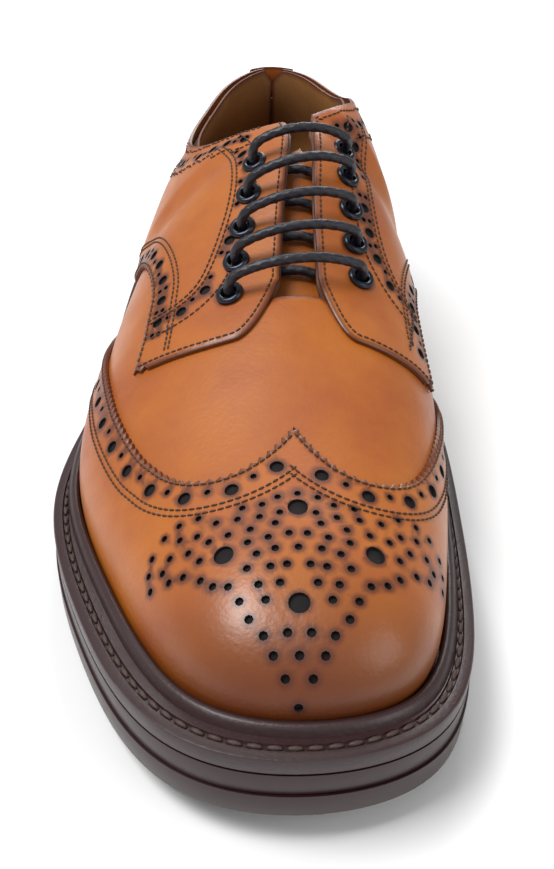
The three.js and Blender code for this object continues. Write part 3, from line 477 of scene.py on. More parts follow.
def settle(name, mesh, body, materials, replaces=()):
    """Puts a mesh in the scene, with its finishes, its body and the model's nodes that it stands for."""
    for material in materials:
        mesh.materials.append(material)
    obj = bpy.data.objects.new(name, mesh)
    bpy.context.scene.collection.objects.link(obj)
    if body:
        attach(obj, body)
        if replaces:
            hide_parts(*replaces)
    return obj


def cut_leather(name, loops, layer, holes=(), body="shoe", materials=(), replaces=(),
                roll=0.35, within=None, pit=0.9):
    """A piece cut flat to its outline and pierced, given its thickness, and pulled over the last.

    within marks the pattern's points that lie well inside the piece.
    """
    loop_points = np.vstack(loops)
    inner_ring = np.vstack([PATTERN.step(q, inward(q), np.full(len(q), 0.5)) for q in loops])
    points, edges, start = [loop_points], [], 0
    for q in loops:
        n = len(q)
        edges += [(start + i, start + (i + 1) % n) for i in range(n)]
        start += n
    outline_tree = KDTree(len(loop_points))
    for i, (x, y) in enumerate(loop_points.tolist()):
        outline_tree.insert((x, y, 0), i)
    outline_tree.balance()
    hole_at = np.array([h[0] for h in holes], float).reshape(-1, 2)
    hole_r = np.array([h[1] for h in holes], float)
    frames = PATTERN.stretch(hole_at) if len(holes) else []
    spread = []
    for (centre, radius), j in zip(holes, frames):
        w, e = np.linalg.eigh(j.T @ j)
        root = e @ np.diag(1 / np.sqrt(np.maximum(w, 0.05))) @ e.T
        count = 16 if radius > 1 else 8
        turns = np.arange(count) * 2 * math.pi / count
        ring = np.asarray(centre) + radius * np.column_stack([np.cos(turns), np.sin(turns)]) @ root
        edges += [(start + i, start + (i + 1) % count) for i in range(count)]
        start += count
        points.append(ring)
        spread.append(ring)
    inside = PATTERN.used & (within if within is not None else np.ones(len(G.y), bool))
    nodes = PATTERN.flat[inside]
    if len(holes):
        tree = KDTree(len(hole_at))
        for i, (x, y) in enumerate(hole_at.tolist()):
            tree.insert((x, y, 0), i)
        tree.balance()
        near = [tree.find((x, y, 0)) for x, y in nodes.tolist()]
        clear = np.array([d for _, _, d in near]) > hole_r[[i for _, i, _ in near]] + 0.7
        nodes = nodes[clear]
        points.append(hole_at)
        near = [tree.find((x, y, 0)) for x, y in inner_ring.tolist()]
        clear = np.array([d for _, _, d in near]) > hole_r[[i for _, i, _ in near]] + 0.3
        inner_ring = inner_ring[clear]
    away = np.array([outline_tree.find((x, y, 0))[2] for x, y in nodes.tolist()])
    points += [inner_ring, nodes[away > 0.95]]
    flat = np.vstack(points)
    out = delaunay_2d_cdt([Vector(p) for p in flat.tolist()], edges, [], 1, 1e-5)
    verts = np.array([tuple(p) for p in out[0]])
    tris = np.array([f for f in out[2] if len(f) == 3])
    first = [o[0] if o else -1 for o in out[3]]
    is_rim = np.array([0 <= o < len(loop_points) for o in first])
    middle = verts[tris].mean(1)
    pierced = np.zeros(len(tris), bool)
    if len(holes):
        for n, m in enumerate(middle.tolist()):
            _, i, d = tree.find((m[0], m[1], 0))
            if d < hole_r[i] * 1.6:
                ring = spread[i]
                along = np.roll(ring, -1, 0) - ring
                cross = along[:, 0] * (m[1] - ring[:, 1]) - along[:, 1] * (m[0] - ring[:, 0])
                pierced[n] = bool((cross > -1e-9).all() or (cross < 1e-9).all())
    bm = bmesh.new()
    edge_mark = bm.verts.layers.float.new("edge")
    rim_of = bm.verts.layers.int.new("rim")
    hole_of = bm.faces.layers.int.new("hole")
    made = [bm.verts.new((x, y, layer[0])) for x, y in verts.tolist()]
    for i, (x, y) in enumerate(verts.tolist()):
        d = outline_tree.find((x, y, 0))[2]
        if len(holes):
            _, n, far = tree.find((x, y, 0))
            d = min(d, max(0.0, far - hole_r[n]))
        made[i][edge_mark] = d
    for v, mark in zip(made, is_rim):
        v[rim_of] = int(mark)
    for t, mark in zip(tris.tolist(), pierced):
        try:
            face = bm.faces.new([made[i] for i in t])
        except ValueError:
            continue
        face[hole_of] = int(mark)
        if face.calc_area() and face.normal.z < 0:
            face.normal_flip()
    loose = [v for v in bm.verts if not v.link_faces]
    bmesh.ops.delete(bm, geom=loose, context="VERTS")
    raised = bmesh.ops.extrude_face_region(bm, geom=list(bm.faces))["geom"]
    for item in raised:
        if isinstance(item, bmesh.types.BMVert):
            item.co.z = layer[1] - (roll if item[rim_of] else 0)
    # The holes are blind pits. Their walls and floors take material slot 1, the near-black pit finish:
    # painted shade standing in for the shadow inside each hole over the tan leather beneath.
    floors = [f for f in raised if isinstance(f, bmesh.types.BMFace) and f[hole_of]]
    if floors:
        sunk = bmesh.ops.extrude_face_region(bm, geom=floors)["geom"]
        bmesh.ops.delete(bm, geom=[f for f in floors if f.is_valid], context="FACES_ONLY")
        low = [v for v in sunk if isinstance(v, bmesh.types.BMVert)]
        for v in low:
            v.co.z = layer[1] - pit
        for v in low:
            for f in v.link_faces:
                f.material_index = 1
    bmesh.ops.recalc_face_normals(bm, faces=bm.faces)
    bm.verts.ensure_lookup_table()
    co = np.array([v.co[:] for v in bm.verts])
    placed = PATTERN.lift(co[:, :2], co[:, 2])
    for v, p in zip(bm.verts, placed.tolist()):
        v.co = p
    return finish_mesh(name, bm, body, materials, replaces)


def gimped(pattern, q, mark, pitch, depth):
    """Pinks a loop where mark is true: points along it, teeth cut inwards."""
    q = even(pattern, q, pitch / 4)
    row = pattern.read(q)
    on = mark(row[:, 1], row[:, 8], row[:, 9], row[:, 10])
    phase = (np.arange(len(q)) % 4) / 4
    bite = depth * (1 - np.abs(2 * phase - 1)) * on
    return pattern.step(q, inward(q), bite)


def even_line(p, spacing):
    run = np.concatenate([[0], np.cumsum(np.linalg.norm(np.diff(p, axis=0), axis=1))])
    at = np.arange(spacing / 2, run[-1], spacing)
    return np.column_stack([np.interp(at, run, p[:, i]) for i in range(p.shape[1])])


def sew(name, tracks, material, pitch, length, width, body="shoe", high=0.5):
    """Stitches as small grains of thread along tracks; a track is points and normals."""
    bm = bmesh.new()
    bmesh.ops.create_uvsphere(bm, u_segments=6, v_segments=4, radius=1)
    grain = np.array([v.co[:] for v in bm.verts]) * (length / 2, width / 2, width * high)
    faces = [[v.index for v in f.verts] for f in bm.faces]
    bm.free()
    verts, all_faces = [], []
    for points, normals in tracks:
        if len(points) < 3:
            continue
        both = even_line(np.column_stack([points, normals]), pitch)
        if len(both) < 3:
            continue
        z = unit(both[:, 3:])
        x = np.gradient(both[:, :3], axis=0)
        x = unit(x - z * (x * z).sum(1, keepdims=True))
        turn = np.stack([x, np.cross(z, x), z], 1)
        for at, axes in zip(both[:, :3], turn):
            start = len(verts) * len(grain)
            verts.append(at + grain @ axes)
            all_faces += [[i + start for i in f] for f in faces]
    mesh = bpy.data.meshes.new(name)
    mesh.from_pydata((np.vstack(verts) * MM).tolist(), [], all_faces)
    mesh.shade_smooth()
    return settle(name, mesh, body, [material])


def track_inside(loop, distance, keep, closed=True):
    """Runs of a line that lies a distance inside a loop, where keep is true."""
    q = even(PATTERN, loop, 1.2, closed)
    row = PATTERN.read(q)
    on = keep(row[:, 1], row[:, 8], row[:, 9], row[:, 10])
    moved = q.copy()
    steps = max(1, int(distance // 3))
    for _ in range(steps):
        moved = PATTERN.step(moved, inward(q, closed), np.full(len(q), distance / steps))
    tree = KDTree(len(q))
    surface = PATTERN.read(q)[:, :3]
    for i, p in enumerate(surface.tolist()):
        tree.insert(p, i)
    tree.balance()
    far = np.array([tree.find(p)[2] for p in PATTERN.read(moved)[:, :3].tolist()])
    on &= far > 0.86 * distance
    runs, run = [], []
    order = np.arange(len(q))
    if closed and on.any() and not on.all():
        order = np.roll(order, -int(np.argmin(on)))
    for i in order:
        if on[i]:
            run.append(moved[i])
        elif run:
            runs.append(np.array(run))
            run = []
    if run:
        runs.append(np.array(run))
    return [r for r in runs if len(r) > 5]


def raised(runs, height):
    tracks = []
    for q in runs:
        row = PATTERN.read(q)
        n = unit(row[:, 3:6])
        tracks.append((row[:, :3] + n * (height - UPPER_OUT), n))
    return tracks


def punches(runs, pitch, big, small):
    """Broguing along a line: a big hole at each pitch, and a pair of small ones between."""
    holes = []
    for q in runs:
        line = even(PATTERN, q, pitch / 4, closed=False)
        side = inward(line, closed=False)
        for i in range(2, len(line) - 2):
            if i % 4 == 2:
                holes.append((line[i], big))
            elif i % 4 == 0:
                for reach in (-1.15, 1.15):
                    spot = PATTERN.step(line[i:i + 1], side[i:i + 1], np.array([reach]))[0]
                    holes.append((spot, small))
    kept = []
    for spot, r in holes:
        if all(np.hypot(*(spot - other)) > r + s + 0.7 for other, s in kept):
            kept.append((spot, r))
    return kept


def plate(name, inset, low, high, materials, replaces, reach=1.0, bevel=0.7, along=150):
    """A sole layer: a sheet between the two edges, made thick, its rim eased."""
    bm = bmesh.new()
    bmesh.ops.create_grid(bm, x_segments=along, y_segments=16, size=0.5)
    s = np.array([v.co.x + 0.5 for v in bm.verts])
    t = np.array([v.co.y + 0.5 for v in bm.verts])
    left_k, right_k = TOE_K * s * reach, RING - TOE_K * s * reach
    left = sole_edge(left_k) - sole_outward(left_k) * inset
    right = sole_edge(right_k) - sole_outward(right_k) * inset
    xy = mix(left, right, t[:, None])
    for v, (x, y), z in zip(bm.verts, xy.tolist(), low(xy[:, 1]).tolist()):
        v.co = (x, y, z)
    bmesh.ops.remove_doubles(bm, verts=bm.verts, dist=0.02)
    top = [g for g in bmesh.ops.extrude_face_region(bm, geom=list(bm.faces))["geom"]
           if isinstance(g, bmesh.types.BMVert)]
    for v, z in zip(top, high(np.array([v.co.y for v in top])).tolist()):
        v.co.z = z
    bmesh.ops.recalc_face_normals(bm, faces=bm.faces)
    rims = [e for e in bm.edges if len(e.link_faces) == 2 and e.calc_face_angle(0) > 0.9]
    bmesh.ops.bevel(bm, geom=rims, offset=bevel, offset_type="OFFSET", segments=3, profile=0.5,
                    affect="EDGES", clamp_overlap=True, material=-1)
    return finish_mesh(name, bm, "shoe", materials, replaces, sharp=50)


def over(height):
    return lambda y: sole_bottom(y) + height


def level(height):
    return lambda y: np.full(len(y), float(height))


def welt_inner(k):
    """How far out from the sole's edge the upper reaches where the welt's bead meets it."""
    near = np.minimum(k, RING - k)
    off = UPPER_OUT + 1.3 * ease((4.7 - near) / 0.3) + 1.1 * ease((0.95 - near) / 0.25)
    edge, out = sole_edge(k), sole_outward(k)
    best = np.full(len(k), -1e9)
    for v in np.arange(0, 0.2, 0.01):
        p = skin(k, v) + outward(k, np.full(len(k), v)) * (off - UPPER_OUT)[:, None]
        lower = p[:, 2] - sole_bottom(p[:, 1]) - FEATHER < WELT_T + RIM_RISE + 0.6
        best = np.where(lower, np.maximum(best, ((p[:, :2] - edge) * out).sum(1)), best)
    return best + GAP


def welt_mesh(materials):
    count = 440
    k = np.arange(count) * RING / count
    inner, edge, out = welt_inner(k), sole_edge(k), sole_outward(k)
    flat = WELT_T
    rows = [
        (-0.7, 0.0, 0), (-0.5, 0.6, 0), (-0.5, flat - 0.7, 0), (-0.7, flat - 0.2, 0), (-1.2, flat, 0),
        (-2.9, flat, 0), (-3.2, flat - 0.5, 0), (-4.4, flat - 0.5, 0), (-4.7, flat, 0),
        (BEAD_W + 0.3, flat, 1), (BEAD_W * 0.9, flat + RIM_RISE * 0.45, 1),
        (BEAD_W * 0.68, flat + RIM_RISE * 0.85, 1), (BEAD_W * 0.4, flat + RIM_RISE, 1),
        (BEAD_W * 0.12, flat + RIM_RISE * 0.9, 1), (0, flat + RIM_RISE * 0.6, 1), (0, 0, 1),
    ]
    bm = bmesh.new()
    bmesh.ops.create_grid(bm, x_segments=count, y_segments=len(rows), size=0.5)
    for v in bm.verts:
        i = int(round((v.co.x + 0.5) * count)) % count
        d, z, from_upper = rows[int(round((v.co.y + 0.5) * len(rows))) % len(rows)]
        reach = inner[i] + d if from_upper else d
        x, y = edge[i] + out[i] * reach
        v.co = (x, y, float(sole_bottom(y)) + FEATHER + z)
    bmesh.ops.remove_doubles(bm, verts=bm.verts, dist=0.01)
    bmesh.ops.recalc_face_normals(bm, faces=bm.faces)
    return finish_mesh("welt_storm", bm, "shoe", materials, ["welt"], sharp=50)


def lace_line():
    """The lace's middle: a centripetal Catmull-Rom line through its route."""
    p = np.array(LACE_ROUTE, float)
    p = np.vstack([2 * p[0] - p[1], p, 2 * p[-1] - p[-2]])
    line = []
    for i in range(1, len(p) - 2):
        a, b, c, d = p[i - 1:i + 3]
        t0, t1 = 0.0, np.linalg.norm(b - a) ** 0.5
        t2 = t1 + np.linalg.norm(c - b) ** 0.5
        t3 = t2 + np.linalg.norm(d - c) ** 0.5
        t = np.linspace(t1, t2, 24, endpoint=False)[:, None]
        a1 = (t1 - t) / (t1 - t0) * a + (t - t0) / (t1 - t0) * b
        a2 = (t2 - t) / (t2 - t1) * b + (t - t1) / (t2 - t1) * c
        a3 = (t3 - t) / (t3 - t2) * c + (t - t2) / (t3 - t2) * d
        b1 = (t2 - t) / (t2 - t0) * a1 + (t - t0) / (t2 - t0) * a2
        b2 = (t3 - t) / (t3 - t1) * a2 + (t - t1) / (t3 - t1) * a3
        line.append((t2 - t) / (t2 - t1) * b1 + (t - t1) / (t2 - t1) * b2)
    return np.vstack([*line, p[-2:-1]])


def tube(name, line, radius, sides, materials, body="shoe", replaces=(), braid=0.0):
    """A round cord on a line; a braid gives it two families of crossing strands."""
    way = unit(np.gradient(line, axis=0))
    bm = bmesh.new()
    bmesh.ops.create_grid(bm, x_segments=len(line) - 1, y_segments=sides, size=0.5)
    run = np.concatenate([[0], np.cumsum(np.linalg.norm(np.diff(line, axis=0), axis=1))])
    normal = np.cross(way[0], (0.3, 0.2, 0.93))
    normals = []
    for w in way:
        normal = normal - w * normal.dot(w)
        normal /= np.linalg.norm(normal)
        normals.append(normal)
    normals = np.array(normals)
    across = np.cross(way, normals)
    for v in bm.verts:
        i = int(round((v.co.x + 0.5) * (len(line) - 1)))
        turn = round((v.co.y + 0.5) * sides) % sides * 2 * math.pi / sides
        twist = run[i] * 2 * math.pi / 7.0
        ridge = max(math.sin(4 * turn + twist * 2), math.sin(4 * turn - twist * 2))
        r = radius * (1 - braid + braid * ridge)
        v.co = line[i] + r * (math.cos(turn) * normals[i] + math.sin(turn) * across[i])
    bmesh.ops.remove_doubles(bm, verts=bm.verts, dist=0.005)
    bmesh.ops.holes_fill(bm, edges=[e for e in bm.edges if e.is_boundary], sides=0)
    bmesh.ops.recalc_face_normals(bm, faces=bm.faces)
    return finish_mesh(name, bm, body, materials, replaces, sharp=0)


# ---- Materials ----
def put(tree, kind, values=None, **settings):
    node = tree.nodes.new(kind)
    for key, value in settings.items():
        setattr(node, key, value)
    for key, value in (values or {}).items():
        if isinstance(value, bpy.types.NodeSocket):
            tree.links.new(value, node.inputs[key])
        else:
            node.inputs[key].default_value = value
    return node


def group(name, inputs, outputs):
    tree = bpy.data.node_groups.new(name, "ShaderNodeTree")
    for label, kind in inputs:
        tree.interface.new_socket(label, in_out="INPUT", socket_type=kind)
    for label, kind in outputs:
        tree.interface.new_socket(label, in_out="OUTPUT", socket_type=kind)
    return tree, tree.nodes.new("NodeGroupInput"), tree.nodes.new("NodeGroupOutput")


BUMP_DEPTH = 0.0003  # metres


def grain_group():
    """Leather's pores and its cloudy dye."""
    tree, given, out = group(
        "leather_grain",
        [("Vector", "NodeSocketVector"), ("Pores", "NodeSocketFloat"), ("Clouds", "NodeSocketFloat")],
        [("Height", "NodeSocketFloat"), ("Cloud", "NodeSocketFloat")],
    )
    place = given.outputs["Vector"]
    cells = put(tree, "ShaderNodeTexVoronoi", {"Vector": place, "Scale": given.outputs["Pores"]},
                feature="SMOOTH_F1")
    fine = put(tree, "ShaderNodeTexNoise", {"Vector": place, "Scale": 1400.0, "Detail": 3.0})
    both = put(tree, "ShaderNodeMath", {0: cells.outputs["Distance"], 1: fine.outputs["Fac"]},
               operation="ADD")
    cloud = put(tree, "ShaderNodeTexNoise", {"Vector": place, "Scale": given.outputs["Clouds"],
                                             "Detail": 5.0, "Roughness": 0.6})
    spread = put(tree, "ShaderNodeMapRange", {"Value": cloud.outputs["Fac"],
                                              "From Min": 0.32, "From Max": 0.68})
    tree.links.new(both.outputs[0], out.inputs["Height"])
    tree.links.new(spread.outputs["Result"], out.inputs["Cloud"])
    return tree


def rub_group():
    """Darkening that gathers along cut edges, holes and seams."""
    tree, given, out = group(
        "edge_dye",
        [("Distance", "NodeSocketFloat"), ("Reach", "NodeSocketFloat"), ("Cloud", "NodeSocketFloat")],
        [("Mask", "NodeSocketFloat")],
    )
    uneven = put(tree, "ShaderNodeMath", {0: given.outputs["Cloud"], 1: given.outputs["Reach"]},
                 operation="MULTIPLY")
    far = put(tree, "ShaderNodeMath", {0: uneven.outputs[0], 1: given.outputs["Reach"]}, operation="ADD")
    near = put(tree, "ShaderNodeMapRange", {"Value": given.outputs["Distance"], "From Min": 0.0,
                                            "From Max": far.outputs[0], "To Min": 1.0, "To Max": 0.0},
               interpolation_type="SMOOTHSTEP")
    tree.links.new(near.outputs["Result"], out.inputs["Mask"])
    return tree


def new_material(name, **values):
    material = bpy.data.materials.new(name)
    material.use_nodes = True
    tree = material.node_tree
    shader = tree.nodes["Principled BSDF"]
    for key, value in values.items():
        shader.inputs[key.replace("_", " ")].default_value = value
    material.diffuse_color = (*values.get("Base_Color", (0.5, 0.5, 0.5, 1))[:3], 1)
    return material, tree, shader


def rgba(colour):
    return (*colour[:3], 1.0)


def leather(name, base, deep, dark, rough=0.4, pores=900.0, bump=0.16, toe=0.0, coat=0.12, reach=1.2):
    material, tree, shader = new_material(name, Base_Color=rgba(base), Roughness=rough, Coat_Weight=coat,
                                          Coat_Roughness=0.28)
    place = put(tree, "ShaderNodeTexCoord").outputs["Object"]
    grain = put(tree, "ShaderNodeGroup", node_tree=bpy.data.node_groups["leather_grain"])
    tree.links.new(place, grain.inputs["Vector"])
    grain.inputs["Pores"].default_value = pores
    grain.inputs["Clouds"].default_value = 34.0
    tone = put(tree, "ShaderNodeMixRGB", {"Fac": grain.outputs["Cloud"],
                                          "Color1": rgba(base), "Color2": rgba(deep)})
    mark = put(tree, "ShaderNodeAttribute", attribute_name="edge")
    rub = put(tree, "ShaderNodeGroup", node_tree=bpy.data.node_groups["edge_dye"])
    tree.links.new(mark.outputs["Fac"], rub.inputs["Distance"])
    tree.links.new(grain.outputs["Cloud"], rub.inputs["Cloud"])
    rub.inputs["Reach"].default_value = reach
    soft = put(tree, "ShaderNodeMath", {0: rub.outputs["Mask"], 1: 0.92}, operation="MULTIPLY")
    edged = put(tree, "ShaderNodeMixRGB", {"Fac": soft.outputs[0],
                                           "Color1": tone.outputs[0], "Color2": rgba(dark)})
    last = edged
    if toe:
        axes = put(tree, "ShaderNodeSeparateXYZ", {"Vector": place})
        front = put(tree, "ShaderNodeMapRange", {"Value": axes.outputs["Y"],
                                                 "From Min": -0.108, "From Max": -0.146,
                                                 "To Min": 0.0, "To Max": toe},
                    interpolation_type="SMOOTHSTEP")
        last = put(tree, "ShaderNodeMixRGB", {"Fac": front.outputs["Result"], "Color1": edged.outputs[0],
                                              "Color2": rgba(dark)})
    tree.links.new(last.outputs[0], shader.inputs["Base Color"])
    shine = put(tree, "ShaderNodeMapRange", {"Value": grain.outputs["Cloud"], "To Min": rough - 0.06,
                                             "To Max": rough + 0.1})
    tree.links.new(shine.outputs["Result"], shader.inputs["Roughness"])
    relief = put(tree, "ShaderNodeBump", {"Height": grain.outputs["Height"],
                                          "Strength": bump, "Distance": BUMP_DEPTH})
    tree.links.new(relief.outputs["Normal"], shader.inputs["Normal"])
    return material


def plain(name, colour, rough, scale, bump=0.1, spread=0.35, coat=0.0, **values):
    """A finish with fine noise in its colour, gloss and surface."""
    material, tree, shader = new_material(name, Base_Color=rgba(colour), Roughness=rough,
                                          Coat_Weight=coat, **values)
    place = put(tree, "ShaderNodeTexCoord").outputs["Object"]
    noise = put(tree, "ShaderNodeTexNoise", {"Vector": place, "Scale": scale, "Detail": 4.0})
    low = tuple(c * (1 - spread) for c in colour[:3])
    high = tuple(min(1, c * (1 + spread)) for c in colour[:3])
    tone = put(tree, "ShaderNodeMixRGB", {"Fac": noise.outputs["Fac"],
                                          "Color1": rgba(low), "Color2": rgba(high)})
    tree.links.new(tone.outputs[0], shader.inputs["Base Color"])
    shine = put(tree, "ShaderNodeMapRange", {"Value": noise.outputs["Fac"], "To Min": rough - 0.07,
                                             "To Max": rough + 0.07})
    tree.links.new(shine.outputs["Result"], shader.inputs["Roughness"])
    relief = put(tree, "ShaderNodeBump", {"Height": noise.outputs["Fac"],
                                          "Strength": bump, "Distance": BUMP_DEPTH})
    tree.links.new(relief.outputs["Normal"], shader.inputs["Normal"])
    return material


# ---- Sizes and colours that a user may change ----
def size(name, description, default, smallest=0.0001, largest=0.05):
    return FloatProperty(name=name, description=description, default=default, min=smallest, max=largest,
                         unit="LENGTH", subtype="DISTANCE", precision=5)


def colour(name, description, default):
    return FloatVectorProperty(name=name, description=description, default=default, size=3, min=0, max=1,
                               subtype="COLOR")


class ShoeSizes(bpy.types.PropertyGroup):
    """Sizes of the shoe's trimming"""

    stitch_pitch: size("Stitch pitch", "From one upper stitch to the next", 0.0019)
    thread: size("Thread", "Thickness of the upper's thread", 0.00062)
    welt_pitch: size("Welt stitch pitch", "From one welt stitch to the next", 0.0040)
    gimp_pitch: size("Pinking pitch", "Width of one pinked tooth", 0.0026)
    gimp_depth: size("Pinking depth", "Depth of one pinked tooth", 0.0011)
    big_hole: size("Big hole", "Radius of the large punched holes", 0.0017)
    small_hole: size("Small hole", "Radius of the small punched holes", 0.0008)
    lace: size("Lace", "Diameter of the lace", 0.0028)


class ShoeColours(bpy.types.PropertyGroup):
    """Colours of the shoe"""

    tan: colour("Tan", "The upper's leather", (0.42, 0.122, 0.0125))
    deep: colour("Deep tan", "The darker clouds in the upper's dye", (0.31, 0.068, 0.006))
    dark: colour("Burnish", "Dye along edges and on the toe", (0.085, 0.017, 0.004))
    lining: colour("Lining", "The lining's leather", (0.30, 0.125, 0.032))
    edge: colour("Sole edge", "Dye on the sole's edge", (0.026, 0.008, 0.009))
    thread: colour("Thread", "The upper's thread", (0.045, 0.016, 0.007))
    lace: colour("Lace", "The waxed lace", (0.006, 0.006, 0.012))
    backdrop: colour("Backdrop", "The floor and the light behind", (0.85, 0.85, 0.85))


def sizes():
    return bpy.context.scene.shoe_sizes


def colours():
    return bpy.context.scene.shoe_colours


MADE = {}


def stuff(name):
    return bpy.data.materials[name]


class SHOE_OT_finishes(bpy.types.Operator):
    """Make every finish of the shoe and put it on the model's own pieces"""

    bl_idname = "shoe.finishes"
    bl_label = "Finishes"

    def execute(self, context):
        c = colours()
        grain_group()
        rub_group()
        leather("upper", c.tan, c.deep, c.dark, toe=0.0)
        leather("upper_toe", c.tan, c.deep, c.dark, toe=0.8)
        leather("upper_heel", c.deep, c.deep, c.dark, toe=0.0)
        leather("lining", c.lining, tuple(0.7 * v for v in c.lining), c.dark, rough=0.6, bump=0.12, coat=0.0)
        leather("welt_brown", tuple(1.6 * v for v in c.edge), c.edge, c.edge, rough=0.42, bump=0.2)
        plain("sole_dye", c.edge, 0.38, 240.0, bump=0.12, coat=0.06, Specular_IOR_Level=0.4)
        plain("tread", (0.16, 0.07, 0.035), 0.55, 120.0, bump=0.15)
        # pit: near-black painted shade for the walls and floors of the punched holes, in place of the
        # shadowed leather under them.
        plain("pit", (0.004, 0.002, 0.002), 0.9, 500.0)
        plain("thread_tan", c.thread, 0.6, 2500.0)
        plain("thread_welt", (0.05, 0.028, 0.022), 0.6, 2500.0, bump=0.3)
        plain("lace_wax", c.lace, 0.42, 2600.0, bump=0.35)
        plain("gunmetal", (0.03, 0.032, 0.042), 0.3, 900.0, bump=0.03, Metallic=0.85)
        plain("rubber", (0.012, 0.010, 0.010), 0.7, 700.0, bump=0.2)
        plain("brass", (0.56, 0.36, 0.13), 0.32, 700.0, bump=0.03, Metallic=1.0)
        plain("steel", (0.5, 0.5, 0.52), 0.35, 700.0, bump=0.03, Metallic=1.0)
        plain("cork", (0.27, 0.14, 0.06), 0.9, 420.0, bump=0.4, spread=0.5)
        plain("board", (0.24, 0.18, 0.11), 0.9, 500.0, bump=0.2)
        plain("insole_hide", (0.34, 0.17, 0.06), 0.65, 300.0, bump=0.15)
        plain("aglet", (0.01, 0.01, 0.014), 0.25, 900.0, bump=0.02)
        finish_of = {
            "upper_leather": "upper", "lining_leather": "lining", "sole_edge": "sole_dye",
            "welt_leather": "welt_brown", "heel_rubber": "rubber", "nail_brass": "brass",
            "eyelet_metal": "gunmetal", "lace_cotton": "lace_wax", "aglet_plastic": "aglet",
            "shank_steel": "steel", "cork": "cork", "stiffener_board": "board",
            "insole_leather": "insole_hide",
        }
        slots = {row["node"]: row["material_slot"] for row in frame["record"]["subparts"]}
        for name, node in frame["nodes"].items():
            node.data.materials.clear()
            node.data.materials.append(stuff(finish_of[slots[name]]))
        return {"FINISHED"}


class SHOE_OT_sole(bpy.types.Operator):
    """Make the outsole, midsole, storm welt and its stitches"""

    bl_idname = "shoe.sole"
    bl_label = "Sole and welt"

    def execute(self, context):
        dye = [stuff("sole_dye")]
        plate("outsole_leather", 0.0, over(0), over(OUTSOLE_T), dye, ["outsole"], bevel=0.9)
        plate("midsole_leather", 0.5, over(OUTSOLE_T + GAP), over(OUTSOLE_T + MIDSOLE_T), dye,
              ["midsole"], bevel=0.5)
        welt_mesh([stuff("welt_brown")])
        k = np.linspace(0, RING, 900)
        edge = sole_edge(k) - sole_outward(k) * 3.8
        line = np.column_stack([edge, sole_bottom(edge[:, 1]) + FEATHER + WELT_T - 0.25])
        up = np.tile((0.0, 0.0, 1.0), (len(line), 1))
        pitch = sizes().welt_pitch / MM
        sew("welt_stitches", [(line, up)], stuff("thread_welt"), pitch, pitch * 0.95, 1.3)
        return {"FINISHED"}


class SHOE_OT_heel(bpy.types.Operator):
    """Make the stacked heel's lifts"""

    bl_idname = "shoe.heel"
    bl_label = "Heel"

    def execute(self, context):
        rise = (HEEL_HEIGHT - TOP_PIECE_T) / LIFTS
        for i in range(LIFTS):
            low = TOP_PIECE_T + i * rise + GAP
            top = over(-GAP) if i == LIFTS - 1 else level(low + rise - GAP)
            plate(f"heel_layer_{i + 1}", 0.7 - 0.2 * i, level(low), top, [stuff("sole_dye")],
                  [f"heel_lift_{i + 1}"], reach=BREAST_ROUND, bevel=0.35, along=60)
        return {"FINISHED"}


def above(lowest):
    return lambda y, up, down, side: up > lowest


class SHOE_OT_linings(bpy.types.Operator):
    """Make the linings of the vamp and of the two quarters"""

    bl_idname = "shoe.linings"
    bl_label = "Linings"

    def execute(self, context):
        mats = [stuff("lining"), stuff("pit")]
        g = G
        values = seam_y() - g.y
        loops = [even(PATTERN, q, 2.5) for q in PATTERN.outline(values)]
        cut_leather("vamp_lining_leather", loops, LINING, materials=mats,
                    replaces=["vamp_lining"], within=values > 1)
        for name, side in (("outer", -1), ("inner", 1)):
            values = least(on_side(side), beside_gap(), tab_front(), g.y - seam_y() - 0.9)
            loops = [even(PATTERN, q, 2.0) for q in PATTERN.outline(values)[:1]]
            cut_leather(f"quarter_lining_leather_{name}", loops, LINING,
                        materials=mats, replaces=[f"quarter_lining_{name}"], within=values > 1)
        return {"FINISHED"}


# The toe's rosette on one side of its middle: across and forward of the toe's top point, millimetres.
ROSETTE = [
    (0, -3.5), (4.5, -2.5), (8, -0.5), (23, 0.5), (12.5, 0), (28, 1), (4, 2), (8.5, 3), (13.5, 3), (18.5, 3),
    (0, 4), (27.5, 5), (5, 5), (32, 3), (23, 5.5), (10.5, 6.3), (35.5, 7), (15.5, 7), (2, 7.8), (20, 7.8),
    (6.5, 8.8), (30, 9), (25, 9.3), (11, 9.8), (36.5, 11), (0, 11.5), (5, 11.8), (22, 12.2), (32, 12),
    (9, 13), (36, 15), (30, 15), (26, 15), (2.5, 15.8), (6, 16.3), (11, 16.5), (21.5, 17.3), (18.5, 19.5),
    (15, 20.3), (4, 20.2), (8.5, 20.5), (12.5, 24), (7, 24), (10.5, 28), (2.5, 31), (7.5, 31.5),
    (0, 35.5), (5.5, 35.5), (3, 40), (0, 46),
]
ROSETTE_BIG = [(0, 0.5), (16.3, 12.2), (0, 24.8)]


def toe_medallion():
    """The punched rosette on the toe, laid out from the toe's top point."""
    x0, y0 = PATTERN.spot([(0.0, -103.0)])[0]
    holes = [(side * x, y, 2.3) for x, y in ROSETTE_BIG for side in ((-1, 1) if x else (1,))]
    small = sizes().small_hole / MM
    holes += [(side * x, y, small * (1.0 + 0.25 * clamp(y / 30))) for x, y in ROSETTE
              for side in ((-1, 1) if x else (1,))]
    return [(np.array((x0 + x, y0 - y)), r) for x, y, r in holes]


def free_of(holes):
    """The holes, in order, without those that come too close to one before them."""
    kept = []
    for spot, r in holes:
        if all(np.hypot(*(np.asarray(spot) - other)) > r + s + 0.55 for other, s in kept):
            kept.append((np.asarray(spot, float), r))
    return kept


